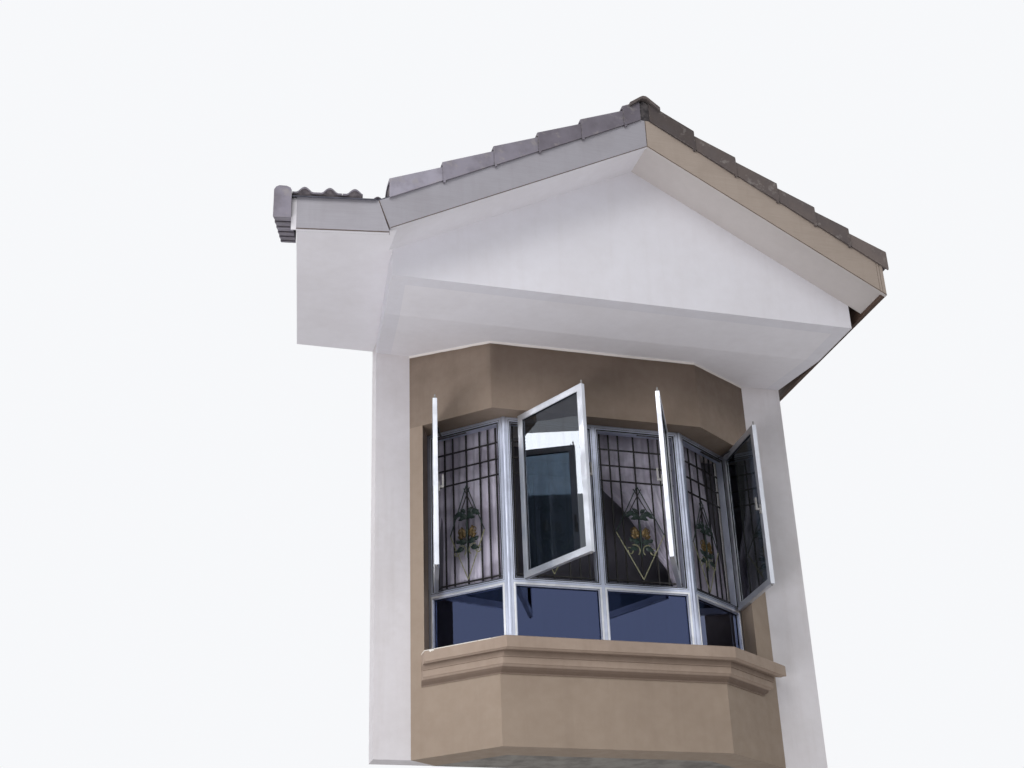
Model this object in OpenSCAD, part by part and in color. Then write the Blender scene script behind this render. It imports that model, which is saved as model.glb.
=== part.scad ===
// Canted bay window of an upper storey, under a tiled gable hood, cut off at the back of the house wall.
// X runs along the wall, Y points into the house, Z is up.
// The origin is on the back of the wall, behind the middle of the bay's front, level with the slab's middle.

/* [Bay] */
// Width of the bay's front
front_w = 1624; // [1400:2:1900]
// Length along the wall that the left slanting side takes up
cant_left = 500; // [430:5:600]
// Length along the wall that the right slanting side takes up
cant_right = 575; // [500:5:680]
// Distance that the bay stands out from the wall on its right
bay_d = 395; // [330:5:480]
// Thickness of the bay's masonry
bay_t = 240; // [240:5:260]
// Thickness of the floor slab
slab_t = 120; // [100:5:160]
// Height of the sill's top above the foot of the bay
sill_h = 710; // [600:10:900]
// Height of the window opening
opening_h = 1723; // [1500:1:1900]
// Height of the masonry band over the window, at the front
band_h = 507; // [400:1:700]
// Width of the plain strip left of the window
strip_left_w = 110; // [80:1:140]
// Width of the plain strip right of the window
strip_right_w = 227; // [150:1:260]

/* [Sill] */
// Distance that the sill's top edge stands out from the front and the right side
sill_out = 115; // [80:1:150]
// Distance that it stands out from the left side
sill_out_left = 70; // [60:1:115]
// Height of the whole moulding
sill_depth = 232; // [200:1:260]
// Height of the plain edge at the top of the moulding
fascia_h = 85; // [60:1:100]
// Thickness of the flat part that runs in under the window
sill_seat = 60; // [40:1:60]

/* [Window] */
// Distance from the bay's front back to the front window
set_back = 130; // [100:1:140]
// Distance from the slanting faces back to the side windows
side_back = 177; // [140:1:180]
// Width of the frame's outer members
frame_w = 32; // [28:1:45]
// Depth of the frame's members
frame_t = 60; // [45:1:60]
// Width of the mullion between the two front windows
mullion_w = 50; // [40:1:60]
// Width of the transom
transom_w = 42; // [36:1:50]
// Height of the transom's middle above the sill
fixed_h = 467; // [400:1:520]
// Width of a sash's members
sash_w = 40; // [35:1:50]
// Depth of a sash's members
sash_t = 32; // [25:1:40]
// Angle to which each casement stands open, from left to right
sash_open = [59.4, 65, 63.6, 53]; // [0:0.1:90]

/* [Wall] */
// Thickness of the house wall right of the bay
wall_t = 230; // [200:5:260]
// Thickness of the pier left of the bay and of the wall over the window
pier_t = 150; // [120:5:180]
// Width of the pier
pier_w = 255; // [150:1:400]

/* [Hood] */
// Distance from the wall on the right to the face of the gable wall
hood_d = 1221; // [1000:1:1400]
// Half the width of the gable wall
hood_half = 1715; // [1600:5:1800]
// Thickness of the gable wall and the side cheeks
hood_t = 110; // [100:5:140]
// Distance that the soffit climbs between its crease and the wall
soffit_rise = 100; // [0:5:120]
// Distance from the wall on the right to the crease in the soffit
crease_d = 691; // [560:1:800]
// Height of the gable wall's upright ends
gable_edge = 188; // [150:1:220]
// Distance that the peak lies to the right of the middle of the bay
peak_x = 78; // [0:1:150]
// Height of the barge boards' peak above the soffit
peak_h = 1365; // [1200:5:1500]
// Height of the lower ends of the barge boards above the soffit
eave_h = 355; // [320:5:400]
// Distance from the gable wall to the face of the barge boards
verge_out = 330; // [250:5:400]
// Upright depth of the barge boards
barge_h = 246; // [200:1:260]
// Thickness of the barge and eave boards
board_t = 30; // [20:1:40]
// Distance from the middle of the bay to the left foot of the gable roof
eave_left = 1880; // [1840:5:1950]
// Distance from the middle of the bay to the right end of the gable roof
eave_right = 1840; // [1800:5:1950]
// Height of the rolls' crests above the deck
roof_t = 71; // [60:1:100]
// Distances of the tiles' lower edges from the peak, down the left slope
courses_left = [190, 563, 933, 1300, 1711, 2123]; // [100:1:2200]
// Distances of the tiles' lower edges from the peak, down the right slope
courses_right = [428, 784, 1141, 1463, 1755, 2077]; // [100:1:2200]
// Distance between the tiles' lower edges on the return
course_return = 360; // [300:5:400]
// Height of the verge tiles above the barge boards
verge_h = 150; // [90:1:160]
// Distance between the crests of the tiles' rolls
tile_pitch = 164; // [150:1:200]
// Height of the rolls
roll_h = 34; // [20:1:45]
// Height of the ridge above the barge boards' peak
ridge_h = 190; // [150:1:200]

/* [Left return] */
// Length of the eave board left of the gable
return_w = 533; // [400:1:700]
// Angle by which the return is turned back from the gable's front
return_turn = 8.7; // [0:0.1:12]
// Distance that its roof runs out past the end of the board
return_over = 150; // [60:5:180]

/* [Hidden] */

$fn = 48;
far = 6000;
eps = 0.5;

// plan of the bay; s is -1 for the left side and 1 for the right side
half_front = front_w / 2;
front_y = -(wall_t + bay_d);
function wall_y(s) = s < 0 ? -pier_t : -wall_t;
function cant(s) = s < 0 ? cant_left : cant_right;
function turn(s) = atan2(wall_y(s) - front_y, cant(s));
function side_len(s) = norm([cant(s), wall_y(s) - front_y]);
// point of a slanting side, from its front corner towards the wall and inwards from its outer face
function on_side(s, along, depth) = [
    s * (half_front + along * cos(turn(s)) - depth * sin(turn(s))),
    front_y + along * sin(turn(s)) + depth * cos(turn(s))
];
// where a line inside the front meets a line inside the slanting side
function corner(s, front, side) = [
    s * (half_front + (front * cos(turn(s)) - side) / sin(turn(s))), front_y + front
];
function foot(s) = on_side(s, side_len(s), 0);
inner_left = corner(-1, bay_t, bay_t);
inner_right = corner(1, bay_t, bay_t);

// jambs between the side windows and the wall: outer edge, window's end, inner edge
jamb_left = 44;
jamb_right = 78;
function frame_end(s) = side_len(s) - (s < 0 ? jamb_left : jamb_right);
function jamb_out(s) = on_side(s, side_len(s) - (s < 0 ? strip_left_w : strip_right_w), 0);
function jamb_mid(s) = on_side(s, frame_end(s), side_back);
function jamb_in(s) = on_side(s, frame_end(s), bay_t);

// heights
foot_z = -slab_t / 2;
sill_z = foot_z + sill_h;
head_z = sill_z + opening_h;
soffit_z = head_z + band_h;
soffit_t = 100;
wall_top = soffit_z + soffit_rise + soffit_t;

// ends of the frames beside the corner posts, at their outer and inner faces
post_half = 14;
function side_start(s, depth) =
    (set_back + depth - (side_back + depth) * cos(turn(s))) / sin(turn(s)) + post_half;
function front_end(s, depth) = corner(s, set_back + depth, side_back + depth)[0] - s * post_half;

// casements: the stop inside the upper lights, the glass, and the place of each hung edge
stop_w = 12;
stop_d = 8;
pane_t = 6;
sash_lap = 25;
foot_lap = 33;
head_gap = 28;
sash_z = sill_z + fixed_h + transom_w / 2 - foot_lap;
sash_top = head_z - head_gap;
sash_h = sash_top - sash_z;
sash_side = [-1, -1, 1, 1];
sash_on_cant = [true, false, false, true];
sash_in = [72, 66, 116, 38];
sash_off = [40, 72, 85, 18];
function light_end(i) = sash_on_cant[i] ? frame_end(sash_side[i]) - frame_w
    : abs(front_end(sash_side[i], 0)) - frame_w;
function light_start(i) = sash_on_cant[i] ? side_start(sash_side[i], 0) + frame_w : mullion_w / 2;
function sash_len(i) = light_end(i) - light_start(i) + 2 * sash_lap;
function light_depth(i) = sash_on_cant[i] ? side_back : set_back;

// plan and section of the hood
gable_y = -(wall_t + hood_d);
verge_y = gable_y - verge_out;
peak_z = soffit_z + peak_h;
eave_z = soffit_z + eave_h;
tile_over = 40;
verge_over = 20;
verge_w = 170;
valley_left = 105;
valley_right = 68;
valley_t = 12;
slope_left = (peak_z - eave_z) / (peak_x + eave_left);
slope_right = (peak_z - eave_z) / (eave_right - peak_x);
function deck_z(x) = peak_z - (x < peak_x ? (peak_x - x) * slope_left : (x - peak_x) * slope_right);
pier_x = -half_front - cant_left - pier_w;
return_z = soffit_z + gable_edge;
lining_t = 14;
// the valley between the gable roof and the return's roof, in plan
valley_run = cos(return_turn) / (1 - sin(return_turn));
valley_front = [-eave_left - 300 * valley_run, verge_y - 300];
valley_back = [peak_x, verge_y + (peak_x + eave_left) / valley_run];

// Placing on the faces of the bay: X along the outer face away from its start, Y inwards
module face_front() {
    translate([0, front_y, 0]) children();
}
module face_side(s) {
    mirror([s < 0 ? 1 : 0, 0, 0])
        translate([half_front, front_y, 0])
            rotate([0, 0, turn(s)])
                children();
}

// Upright walls of the bay
module prism(z0, z1, points) {
    translate([0, 0, z0])
        linear_extrude(z1 - z0)
            polygon(points);
}
module bay_front(z0, z1) {
    prism(z0, z1, [corner(-1, 0, 0), corner(1, 0, 0), inner_right, inner_left]);
}
module bay_side(s, z0, z1) {
    prism(z0, z1, [corner(s, 0, 0), foot(s), jamb_in(s), corner(s, bay_t, bay_t)]);
}

// Space under the soffit, whose back part climbs towards the wall
module under_soffit() {
    rotate([90, 0, 90])
        translate([0, 0, -far / 2])
            linear_extrude(far)
                polygon([
                    [-far, foot_z - 10], [10, foot_z - 10], [10, soffit_z + soffit_rise],
                    [-pier_t, soffit_z + soffit_rise], [-wall_t - crease_d, soffit_z], [-far, soffit_z]
                ]);
}

// House wall
module wall_pier() {
    a = jamb_in(-1);
    color("gainsboro")
        prism(foot_z, wall_top, [foot(-1), a, [a[0], 0], [pier_x, 0], [pier_x, -pier_t]]);
}
module wall_right() {
    a = jamb_in(1);
    color("gainsboro")
        prism(foot_z, wall_top, [foot(1), [hood_half, -wall_t], [hood_half, 0], [a[0], 0], a]);
}
module wall_lintel() {
    a = jamb_in(-1);
    b = jamb_in(1);
    front = -pier_t - front_y;
    color("gainsboro")
        prism(head_z, wall_top, [
            corner(-1, front, bay_t), corner(1, front, bay_t), b, [b[0], 0], [a[0], 0], a
        ]);
}
module wall_upper() {
    color("gainsboro")
        difference() {
            intersection() {
                union() {
                    rotate([90, 0, 0])
                        linear_extrude(far)
                            polygon([
                                [-eave_left, foot_z], [eave_right, foot_z], [eave_right, eave_z],
                                [peak_x, peak_z], [-eave_left, eave_z]
                            ]);
                    intersection() {
                        left_of_valley(0);
                        return_slab(lining_t - return_w, far, 0, -far, 0);
                    }
                }
                union() {
                    translate([pier_x, -pier_t, wall_top]) cube([hood_half - pier_x, pier_t, far]);
                    translate([pier_x - far, -pier_t, return_z + lining_t]) cube([far, pier_t, far]);
                }
            }
            ridge_tiles();
        }
}

// Bay masonry
module bay_floor() {
    a = jamb_in(-1);
    b = jamb_in(1);
    color("darkgray")
        prism(foot_z, foot_z + slab_t, [inner_left, inner_right, b, [b[0], 0], [a[0], 0], a]);
}
module apron_front() {
    color("tan") bay_front(foot_z, sill_z - sill_seat);
}
module apron_side(s) {
    color("tan") bay_side(s, foot_z, sill_z - sill_seat);
}
module strip(s) {
    color("tan") prism(sill_z - sill_seat, head_z, [jamb_out(s), foot(s), jamb_in(s), jamb_mid(s)]);
}
module band_front() {
    color("rosybrown")
        intersection() {
            bay_front(head_z, wall_top);
            under_soffit();
        }
}
module band_side(s) {
    color("rosybrown")
        intersection() {
            bay_side(s, head_z, wall_top);
            under_soffit();
        }
}

// Section of the sill moulding: X outwards from the masonry, Y up from the foot of the moulding
module sill_section(out) {
    band_out = 52;
    band_top = 104;
    band_foot = 52;
    foot_out = 8;
    drip = sill_depth - fascia_h;
    translate([-bay_t, sill_depth - sill_seat]) square([bay_t, sill_seat]);
    scale([out / sill_out, 1])
        difference() {
            polygon([
                [0, sill_depth], [sill_out - 6, sill_depth], [sill_out, sill_depth - 6],
                [sill_out, drip], [sill_out - 14, drip - 4], [band_out + 6, drip - 4],
                [band_out + 6, band_top], [band_out, band_top], [band_out, band_foot],
                [foot_out, 10], [foot_out, 0], [0, 0]
            ]);
            translate([band_out + 8, 26]) circle(r = 34);
            translate([sill_out + 4, drip - 40]) circle(r = 46);
        }
}
// Straight length of the moulding along a face, before its ends are cut
module sill_length(out) {
    translate([-far / 2, 0, sill_z - sill_depth])
        rotate([90, 0, 90])
            mirror([1, 0, 0])
                linear_extrude(far)
                    sill_section(out);
}
function side_out(s) = s < 0 ? sill_out_left : sill_out;
function mitre_out(s) = corner(s, -3 * sill_out, -3 * side_out(s));
module sill_front() {
    color("burlywood")
        intersection() {
            face_front() sill_length(sill_out);
            prism(foot_z, head_z, [
                mitre_out(-1), mitre_out(1), corner(1, 0, 0), inner_right, inner_left, corner(-1, 0, 0)
            ]);
        }
}
// The side lengths stop a little past the jambs: the left one square to the wall, the right one along it
sill_left_x = -1250;
sill_right_y = -351;
module sill_side(s, cut, cut_out) {
    color("burlywood")
        intersection() {
            face_side(s) sill_length(side_out(s));
            prism(foot_z, head_z, [
                mitre_out(s), cut_out, cut, jamb_out(s), jamb_mid(s), jamb_in(s), corner(s, bay_t, bay_t),
                corner(s, 0, 0)
            ]);
        }
}
module sill_left() {
    y = front_y - (sill_left_x + half_front) * tan(turn(-1));
    sill_side(-1, [sill_left_x, y], [sill_left_x, y - 3 * sill_out]);
}
module sill_right() {
    x = half_front + (sill_right_y - front_y) / tan(turn(1));
    sill_side(1, [x, sill_right_y], [x + 4 * sill_out, sill_right_y]);
}

// Openings of a window between two upright members, with the stop round its upper light
module lights_cut(x0, x1) {
    low = fixed_h + transom_w / 2;
    high = opening_h - frame_w;
    translate([x0, -eps, frame_w]) cube([x1 - x0, frame_t + 2 * eps, fixed_h - transom_w / 2 - frame_w]);
    translate([x0, -eps, low]) cube([x1 - x0, stop_d + eps, high - low]);
    translate([x0 + stop_w, -eps, low + stop_w])
        cube([x1 - x0 - 2 * stop_w, frame_t + 2 * eps, high - low - 2 * stop_w]);
}
module frame_side(s) {
    start = side_start(s, 0);
    end = frame_end(s);
    color("silver")
        face_side(s)
            translate([0, side_back, sill_z])
                difference() {
                    linear_extrude(opening_h)
                        polygon([[start, 0], [end, 0], [end, frame_t], [side_start(s, frame_t), frame_t]]);
                    lights_cut(start + frame_w, end - frame_w);
                }
}
module frame_front() {
    a = front_end(-1, 0);
    b = front_end(1, 0);
    color("silver")
        face_front()
            translate([0, set_back, sill_z])
                difference() {
                    linear_extrude(opening_h)
                        polygon([
                            [a, 0], [b, 0], [front_end(1, frame_t), frame_t], [front_end(-1, frame_t), frame_t]
                        ]);
                    lights_cut(a + frame_w, -mullion_w / 2);
                    lights_cut(mullion_w / 2, b - frame_w);
                }
}
// Post that closes the corner between two frames and stands a little proud of them
module post(s) {
    proud = 6;
    color("silver")
        prism(sill_z, head_z, [
            [front_end(s, 0), front_y + set_back - proud],
            corner(s, set_back - proud, side_back - proud),
            on_side(s, side_start(s, 0), side_back - proud),
            on_side(s, side_start(s, 0), side_back),
            on_side(s, side_start(s, frame_t), side_back + frame_t),
            corner(s, set_back + frame_t, side_back + frame_t),
            [front_end(s, frame_t), front_y + set_back + frame_t],
            [front_end(s, 0), front_y + set_back]
        ]);
}

// Glass of a light of the fixed row
module fixed_pane(x0, x1, depth) {
    translate([x0, depth + (frame_t - pane_t) / 2, sill_z + frame_w])
        cube([x1 - x0, pane_t, fixed_h - transom_w / 2 - frame_w]);
}
module fixed_panes() {
    color("midnightblue") {
        for (s = [-1, 1])
            face_side(s) fixed_pane(side_start(s, 0) + frame_w, frame_end(s) - frame_w, side_back);
        face_front() fixed_pane(front_end(-1, 0) + frame_w, -mullion_w / 2, set_back);
        face_front() fixed_pane(mullion_w / 2, front_end(1, 0) - frame_w, set_back);
    }
}

// Places something on the face of light i, with X growing towards the hung edge
module on_light(i) {
    s = sash_side[i];
    if (sash_on_cant[i]) face_side(s) children();
    else mirror([s < 0 ? 1 : 0, 0, 0]) face_front() children();
}
// Puts a sash drawn from its hung edge towards +X on light i, swung open
module hung(i) {
    on_light(i)
        translate([light_end(i) - sash_in[i], light_depth(i) - sash_off[i], sash_z])
            mirror([1, 0, 0])
                rotate([0, 0, -sash_open[i]])
                    children();
}
module sash(i) {
    color("lightgray")
        hung(i)
            difference() {
                translate([0, -sash_t, 0]) cube([sash_len(i), sash_t, sash_h]);
                translate([sash_w, -sash_t - eps, sash_w])
                    cube([sash_len(i) - 2 * sash_w, sash_t + 2 * eps, sash_h - 2 * sash_w]);
            }
}
module sash_panes() {
    color("midnightblue")
        for (i = [0 : 3])
            hung(i)
                translate([sash_w, -(sash_t + pane_t) / 2, sash_w])
                    cube([sash_len(i) - 2 * sash_w, pane_t, sash_h - 2 * sash_w]);
}
// Lever handle on the inner face of the free stile
module sash_handles() {
    color("ivory")
        for (i = [0 : 3])
            hung(i)
                translate([sash_len(i) - sash_w / 2, 0, sash_h * 0.46]) {
                    translate([-10, 0, -35]) cube([20, 10, 70]);
                    translate([0, 10, 0]) rotate([-90, 0, 0]) cylinder(h = 16, r = 9);
                    translate([-8, 26, -8]) cube([16, 12, 95]);
                }
}
// Friction stay of each sash: a track under the frame's head and an arm that ends on the sash's inner face
module sash_stays() {
    track = 280;
    track_w = 18;
    arm_r = 8;
    arm_t = 2.5;
    reach = 170;
    track_z = head_z - frame_w - stop_w - arm_t;
    color("dimgray")
        for (i = [0 : 3])
            on_light(i) {
                a = sash_open[i];
                from = [light_end(i) - stop_w - 70, light_depth(i) + stop_d + track_w / 2];
                to = [
                    light_end(i) - sash_in[i] - reach * cos(a) - arm_r * sin(a),
                    light_depth(i) - sash_off[i] - reach * sin(a) + arm_r * cos(a)
                ];
                translate([light_end(i) - stop_w - track, light_depth(i) + stop_d, track_z])
                    cube([track, track_w, arm_t]);
                translate([from[0], from[1], track_z - arm_t])
                    rotate([0, 0, atan2(to[1] - from[1], to[0] - from[0])]) {
                        translate([0, -arm_r, 0]) cube([norm(to - from), 2 * arm_r, arm_t]);
                        translate([norm(to - from), 0, 0]) cylinder(h = arm_t, r = arm_r);
                    }
            }
}

// Hood
module hood_soffit() {
    color("whitesmoke")
        difference() {
            intersection() {
                rotate([90, 0, 90])
                    translate([0, 0, -far / 2])
                        linear_extrude(far)
                            polygon([
                                [gable_y + hood_t, soffit_z], [-wall_t - crease_d, soffit_z],
                                [-pier_t, soffit_z + soffit_rise], [-pier_t, wall_top],
                                [-wall_t - crease_d, soffit_z + soffit_t], [gable_y + hood_t, soffit_z + soffit_t]
                            ]);
                prism(soffit_z - 10, wall_top + 10, [
                    [-hood_half + hood_t, gable_y + hood_t], [hood_half - hood_t, gable_y + hood_t],
                    [hood_half - hood_t, -pier_t], [pier_x + hood_t, -pier_t]
                ]);
            }
            wall_right();
        }
}
module gable_wall() {
    color("white")
        translate([0, gable_y + hood_t, 0])
            rotate([90, 0, 0])
                linear_extrude(hood_t)
                    polygon([
                        [-hood_half, soffit_z], [hood_half, soffit_z], [hood_half, deck_z(hood_half)],
                        [peak_x, peak_z], [-hood_half, deck_z(-hood_half)]
                    ]);
}
module cheek_left() {
    color("whitesmoke")
        difference() {
            prism(soffit_z, deck_z(-hood_half), [
                [-hood_half, gable_y + hood_t], [-hood_half + hood_t, gable_y + hood_t],
                [pier_x + hood_t, -pier_t], [pier_x, -pier_t]
            ]);
            under_soffit();
        }
}
module cheek_right() {
    color("whitesmoke")
        difference() {
            translate([hood_half - hood_t, gable_y + hood_t, soffit_z])
                cube([hood_t, hood_d - hood_t, deck_z(hood_half) - soffit_z]);
            under_soffit();
        }
}
// Boards under the verge, between the gable wall and the barge boards
lining_up = barge_h - 8;
lining_left = -eave_left + (gable_edge + lining_up - eave_h) / slope_left;
module verge_board(x0, x1) {
    board = 12;
    translate([0, gable_y, 0])
        rotate([90, 0, 0])
            linear_extrude(verge_out - board_t)
                polygon([
                    [x0, deck_z(x0) - lining_up], [x1, deck_z(x1) - lining_up],
                    [x1, deck_z(x1) - lining_up + board], [x0, deck_z(x0) - lining_up + board]
                ]);
}
module verge_soffit_left() {
    color("whitesmoke") verge_board(lining_left, peak_x);
}
module verge_soffit_right() {
    color("whitesmoke") verge_board(peak_x, eave_right - board_t);
}
module barge_board(points) {
    translate([0, verge_y + board_t, 0])
        rotate([90, 0, 0])
            linear_extrude(board_t)
                polygon(points);
}
// The left board's foot is cut back where it is mitred with the return's board
mitre_back = 75;
module barge_left() {
    x0 = -eave_left;
    color("rosybrown")
        barge_board([
            [x0, eave_z], [peak_x, peak_z], [peak_x, peak_z - barge_h],
            [x0 + mitre_back, deck_z(x0 + mitre_back) - barge_h]
        ]);
}
module barge_right() {
    color("rosybrown")
        barge_board([
            [peak_x, peak_z], [eave_right, eave_z], [eave_right, eave_z - barge_h], [peak_x, peak_z - barge_h]
        ]);
}

// Plan on either side of the valley between the gable roof and the return's roof, kept clear of it by a gap
module left_of_valley(gap) {
    prism(foot_z, peak_z + far, [
        [-far, valley_front[1]], valley_front - [gap, 0], valley_back - [gap, 0], [peak_x - gap, 0], [-far, 0]
    ]);
}
module right_of_valley(gap) {
    prism(soffit_z, peak_z + far, [
        valley_front + [gap, 0], [peak_x, valley_front[1]], [peak_x, valley_back[1] - gap / valley_run]
    ]);
}
// Sloping slab over the deck line from x0 to x1, from y0 to y1
module roof_slab(x0, x1, y0, y1, thick) {
    translate([0, y1, 0])
        rotate([90, 0, 0])
            linear_extrude(y1 - y0)
                polygon([
                    [x0, deck_z(x0)], [x1, deck_z(x1)], [x1, deck_z(x1) + thick], [x0, deck_z(x0) + thick]
                ]);
}
// Course of roll tiles with its lower edge at X = 0, running towards -X, with its rolls set out along Y
tile_len = 500;
tile_tilt = 2.1;
module tile_course(from, count, len) {
    pan = roof_t - roll_h;
    roll = [[31, 0], [46, 0.75], [68, 1], [96, 1], [118, 0.75], [133, 0]];
    rotate([0, -tile_tilt, 0])
        translate([-len, 0, 0])
            rotate([90, 0, 90])
                linear_extrude(len)
                    polygon([
                        [from, -2 * roof_t],
                        [from, pan],
                        for (k = [0 : count - 1])
                            for (p = roll) [from + k * tile_pitch + p[0], pan + roll_h * p[1]],
                        [from + count * tile_pitch, pan],
                        [from + count * tile_pitch, -2 * roof_t]
                    ]);
}
// X down a slope of the gable roof from the peak, Z square off its deck
module on_slope(s) {
    translate([peak_x, 0, peak_z])
        mirror([s < 0 ? 1 : 0, 0, 0])
            rotate([0, atan(s < 0 ? slope_left : slope_right), 0])
                children();
}
// Distance from the verge tiles' front to the first roll tiles
field_start = 110;
// Verge tiles seen from the front, each standing higher at its lower edge than where the next one covers it
verge_step = 26;
module verge_tiles(s, courses) {
    slope = atan(s < 0 ? slope_left : slope_right);
    last = len(courses) - 1;
    function down(d, h) = [peak_x + s * d * cos(slope), peak_z - d * sin(slope) + h];
    translate([0, verge_y - verge_over + verge_w, 0])
        rotate([90, 0, 0])
            linear_extrude(verge_w)
                polygon([
                    down(0, 0),
                    for (k = [0 : last]) each [
                        down(k == 0 ? 0 : courses[k - 1], verge_h - verge_step), down(courses[k], verge_h)
                    ],
                    down(courses[last], 0)
                ]);
}
module field_tiles(s, courses) {
    from = verge_y - verge_over + field_start;
    top = 60;
    intersection() {
        on_slope(s)
            for (c = courses)
                translate([c, 0, 0]) tile_course(from, ceil(-from / tile_pitch), min(c + top, tile_len));
        on_slope(s) translate([-top, -far, 0]) cube([far, far, far]);
    }
}
module roof_left() {
    color("dimgray") {
        intersection() {
            union() {
                field_tiles(-1, courses_left);
                verge_tiles(-1, courses_left);
            }
            right_of_valley(valley_right);
        }
        intersection() {
            roof_slab(valley_front[0], peak_x, verge_y, 0, valley_t);
            right_of_valley(0);
        }
    }
}
module roof_right() {
    color("dimgray") {
        intersection() {
            union() {
                field_tiles(1, courses_right);
                verge_tiles(1, courses_right);
            }
            translate([peak_x, -far, 0]) cube([eave_right + tile_over - peak_x, far, 2 * far]);
        }
        roof_slab(peak_x, eave_right + 20, verge_y, 0, valley_t);
    }
}
// Angular cap over both slopes, standing on tiles of the given height
module ridge_length(y0, y1, under) {
    half = 140;
    edge = 165;
    x0 = peak_x - half;
    x1 = peak_x + half;
    translate([0, y1, 0])
        rotate([90, 0, 0])
            linear_extrude(y1 - y0)
                polygon([
                    [x0, deck_z(x0) + under], [peak_x, peak_z + under], [x1, deck_z(x1) + under],
                    [x1, deck_z(x1) + edge], [peak_x, peak_z + ridge_h], [x0, deck_z(x0) + edge]
                ]);
}
module ridge_tiles() {
    proud = 15;
    ridge_bed = 84;
    split = verge_y - verge_over + verge_w;
    color("darkslategray") {
        ridge_length(split, 0, ridge_bed);
        ridge_length(verge_y - verge_over - proud, split, verge_h);
    }
}
module eave_right_board() {
    color("saddlebrown")
        translate([eave_right - board_t, verge_y + board_t, eave_z - barge_h])
            cube([board_t, -verge_y - board_t, barge_h]);
}

// Left return
module at_return() {
    translate([-eave_left, verge_y, 0]) rotate([0, 0, -return_turn]) children();
}
module before_wall() {
    translate([-far, -far, 0]) cube([2 * far, far, 2 * far]);
}
// Slab along the return between two lengths from the kink, from y0 back, between two heights over its deck
module return_slab(x0, x1, y0, under, over) {
    at_return()
        translate([x0, 0, 0])
            rotate([90, 0, 90])
                linear_extrude(x1 - x0)
                    polygon([
                        [y0, eave_z + y0 * slope_left + under], [far, eave_z + far * slope_left + under],
                        [far, eave_z + far * slope_left + over], [y0, eave_z + y0 * slope_left + over]
                    ]);
}
module return_board() {
    color("rosybrown")
        difference() {
            at_return()
                translate([0, board_t, 0])
                    rotate([90, 0, 0])
                        linear_extrude(board_t)
                            polygon([
                                [-return_w, eave_z - barge_h], [mitre_back, eave_z - barge_h], [0, eave_z],
                                [-return_w, eave_z]
                            ]);
            barge_left();
        }
}
module return_soffit() {
    color("whitesmoke")
        intersection() {
            at_return()
                translate([-return_w, board_t, return_z])
                    cube([return_w + 700, far, lining_t]);
            before_wall();
            prism(soffit_z, eave_z, [
                [-far, verge_y], [-eave_left, verge_y + board_t], [lining_left, verge_y + board_t],
                [lining_left, gable_y], [-hood_half, gable_y], [-hood_half, gable_y + hood_t],
                [pier_x, -pier_t], [pier_x, 0], [-far, 0]
            ]);
        }
}
return_courses = 6;
return_pitch = atan(slope_left);
return_left = -return_w - return_over;
skirt_w = 125;
module return_tiles() {
    from = return_left + skirt_w - 9;
    lean = roof_t * sin(return_pitch);
    intersection() {
        at_return()
            translate([0, 0, eave_z])
                rotate([return_pitch, 0, 0])
                    for (k = [0 : return_courses])
                        translate([0, k * course_return - (tile_over - lean) / cos(return_pitch), 0])
                            rotate([0, 0, -90])
                                tile_course(from, 14, tile_len);
        return_slab(return_left, far, -far, 0, far);
    }
}
// The left edge's verge tiles hang down beside the eave board, each one lower at its front
module rake_tiles() {
    skirt = 165;
    skirt_step = 15;
    top = 82;
    top_step = 20;
    function at(k, h) =
        let (y = k * course_return * cos(return_pitch) - tile_over) [y, eave_z + y * slope_left + h];
    at_return()
        translate([return_left, 0, 0])
            rotate([90, 0, 90])
                linear_extrude(skirt_w)
                    polygon([
                        for (k = [0 : return_courses]) each [at(k, top), at(k + 1, top - top_step)],
                        for (k = [return_courses : -1 : 0]) each [at(k + 1, skirt_step - skirt), at(k, -skirt)]
                    ]);
}
module return_roof() {
    color("dimgray")
        difference() {
            intersection() {
                union() {
                    intersection() {
                        union() {
                            return_tiles();
                            rake_tiles();
                        }
                        left_of_valley(valley_left);
                    }
                    intersection() {
                        return_slab(return_left, far, 0, 0, valley_t);
                        left_of_valley(0);
                    }
                }
                before_wall();
            }
            ridge_tiles();
        }
}
module return_side() {
    color("whitesmoke")
        intersection() {
            at_return()
                translate([-return_w, 0, 0])
                    rotate([90, 0, 90])
                        linear_extrude(lining_t)
                            polygon([
                                [board_t, return_z + lining_t], [far, return_z + lining_t],
                                [far, eave_z + far * slope_left], [board_t, eave_z + board_t * slope_left]
                            ]);
            before_wall();
        }
}

wall_pier();
wall_right();
wall_lintel();
wall_upper();
bay_floor();
apron_side(-1);  // apron_left
apron_front();
apron_side(1);  // apron_right
strip(-1);  // strip_left
strip(1);  // strip_right
band_side(-1);  // band_left
band_front();
band_side(1);  // band_right
sill_left();
sill_front();
sill_right();
frame_side(-1);  // frame_left
frame_front();
frame_side(1);  // frame_right
post(-1);  // post_left
post(1);  // post_right
fixed_panes();
sash(0);  // sash_1
sash(1);  // sash_2
sash(2);  // sash_3
sash(3);  // sash_4
sash_panes();
sash_handles();
sash_stays();
hood_soffit();
gable_wall();
cheek_left();
cheek_right();
verge_soffit_left();
verge_soffit_right();
barge_left();
barge_right();
roof_left();
roof_right();
ridge_tiles();
eave_right_board();
return_board();
return_soffit();
return_roof();
return_side();
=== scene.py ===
import math
import random

import bmesh
import bpy
from mathutils import Matrix, Vector


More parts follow.
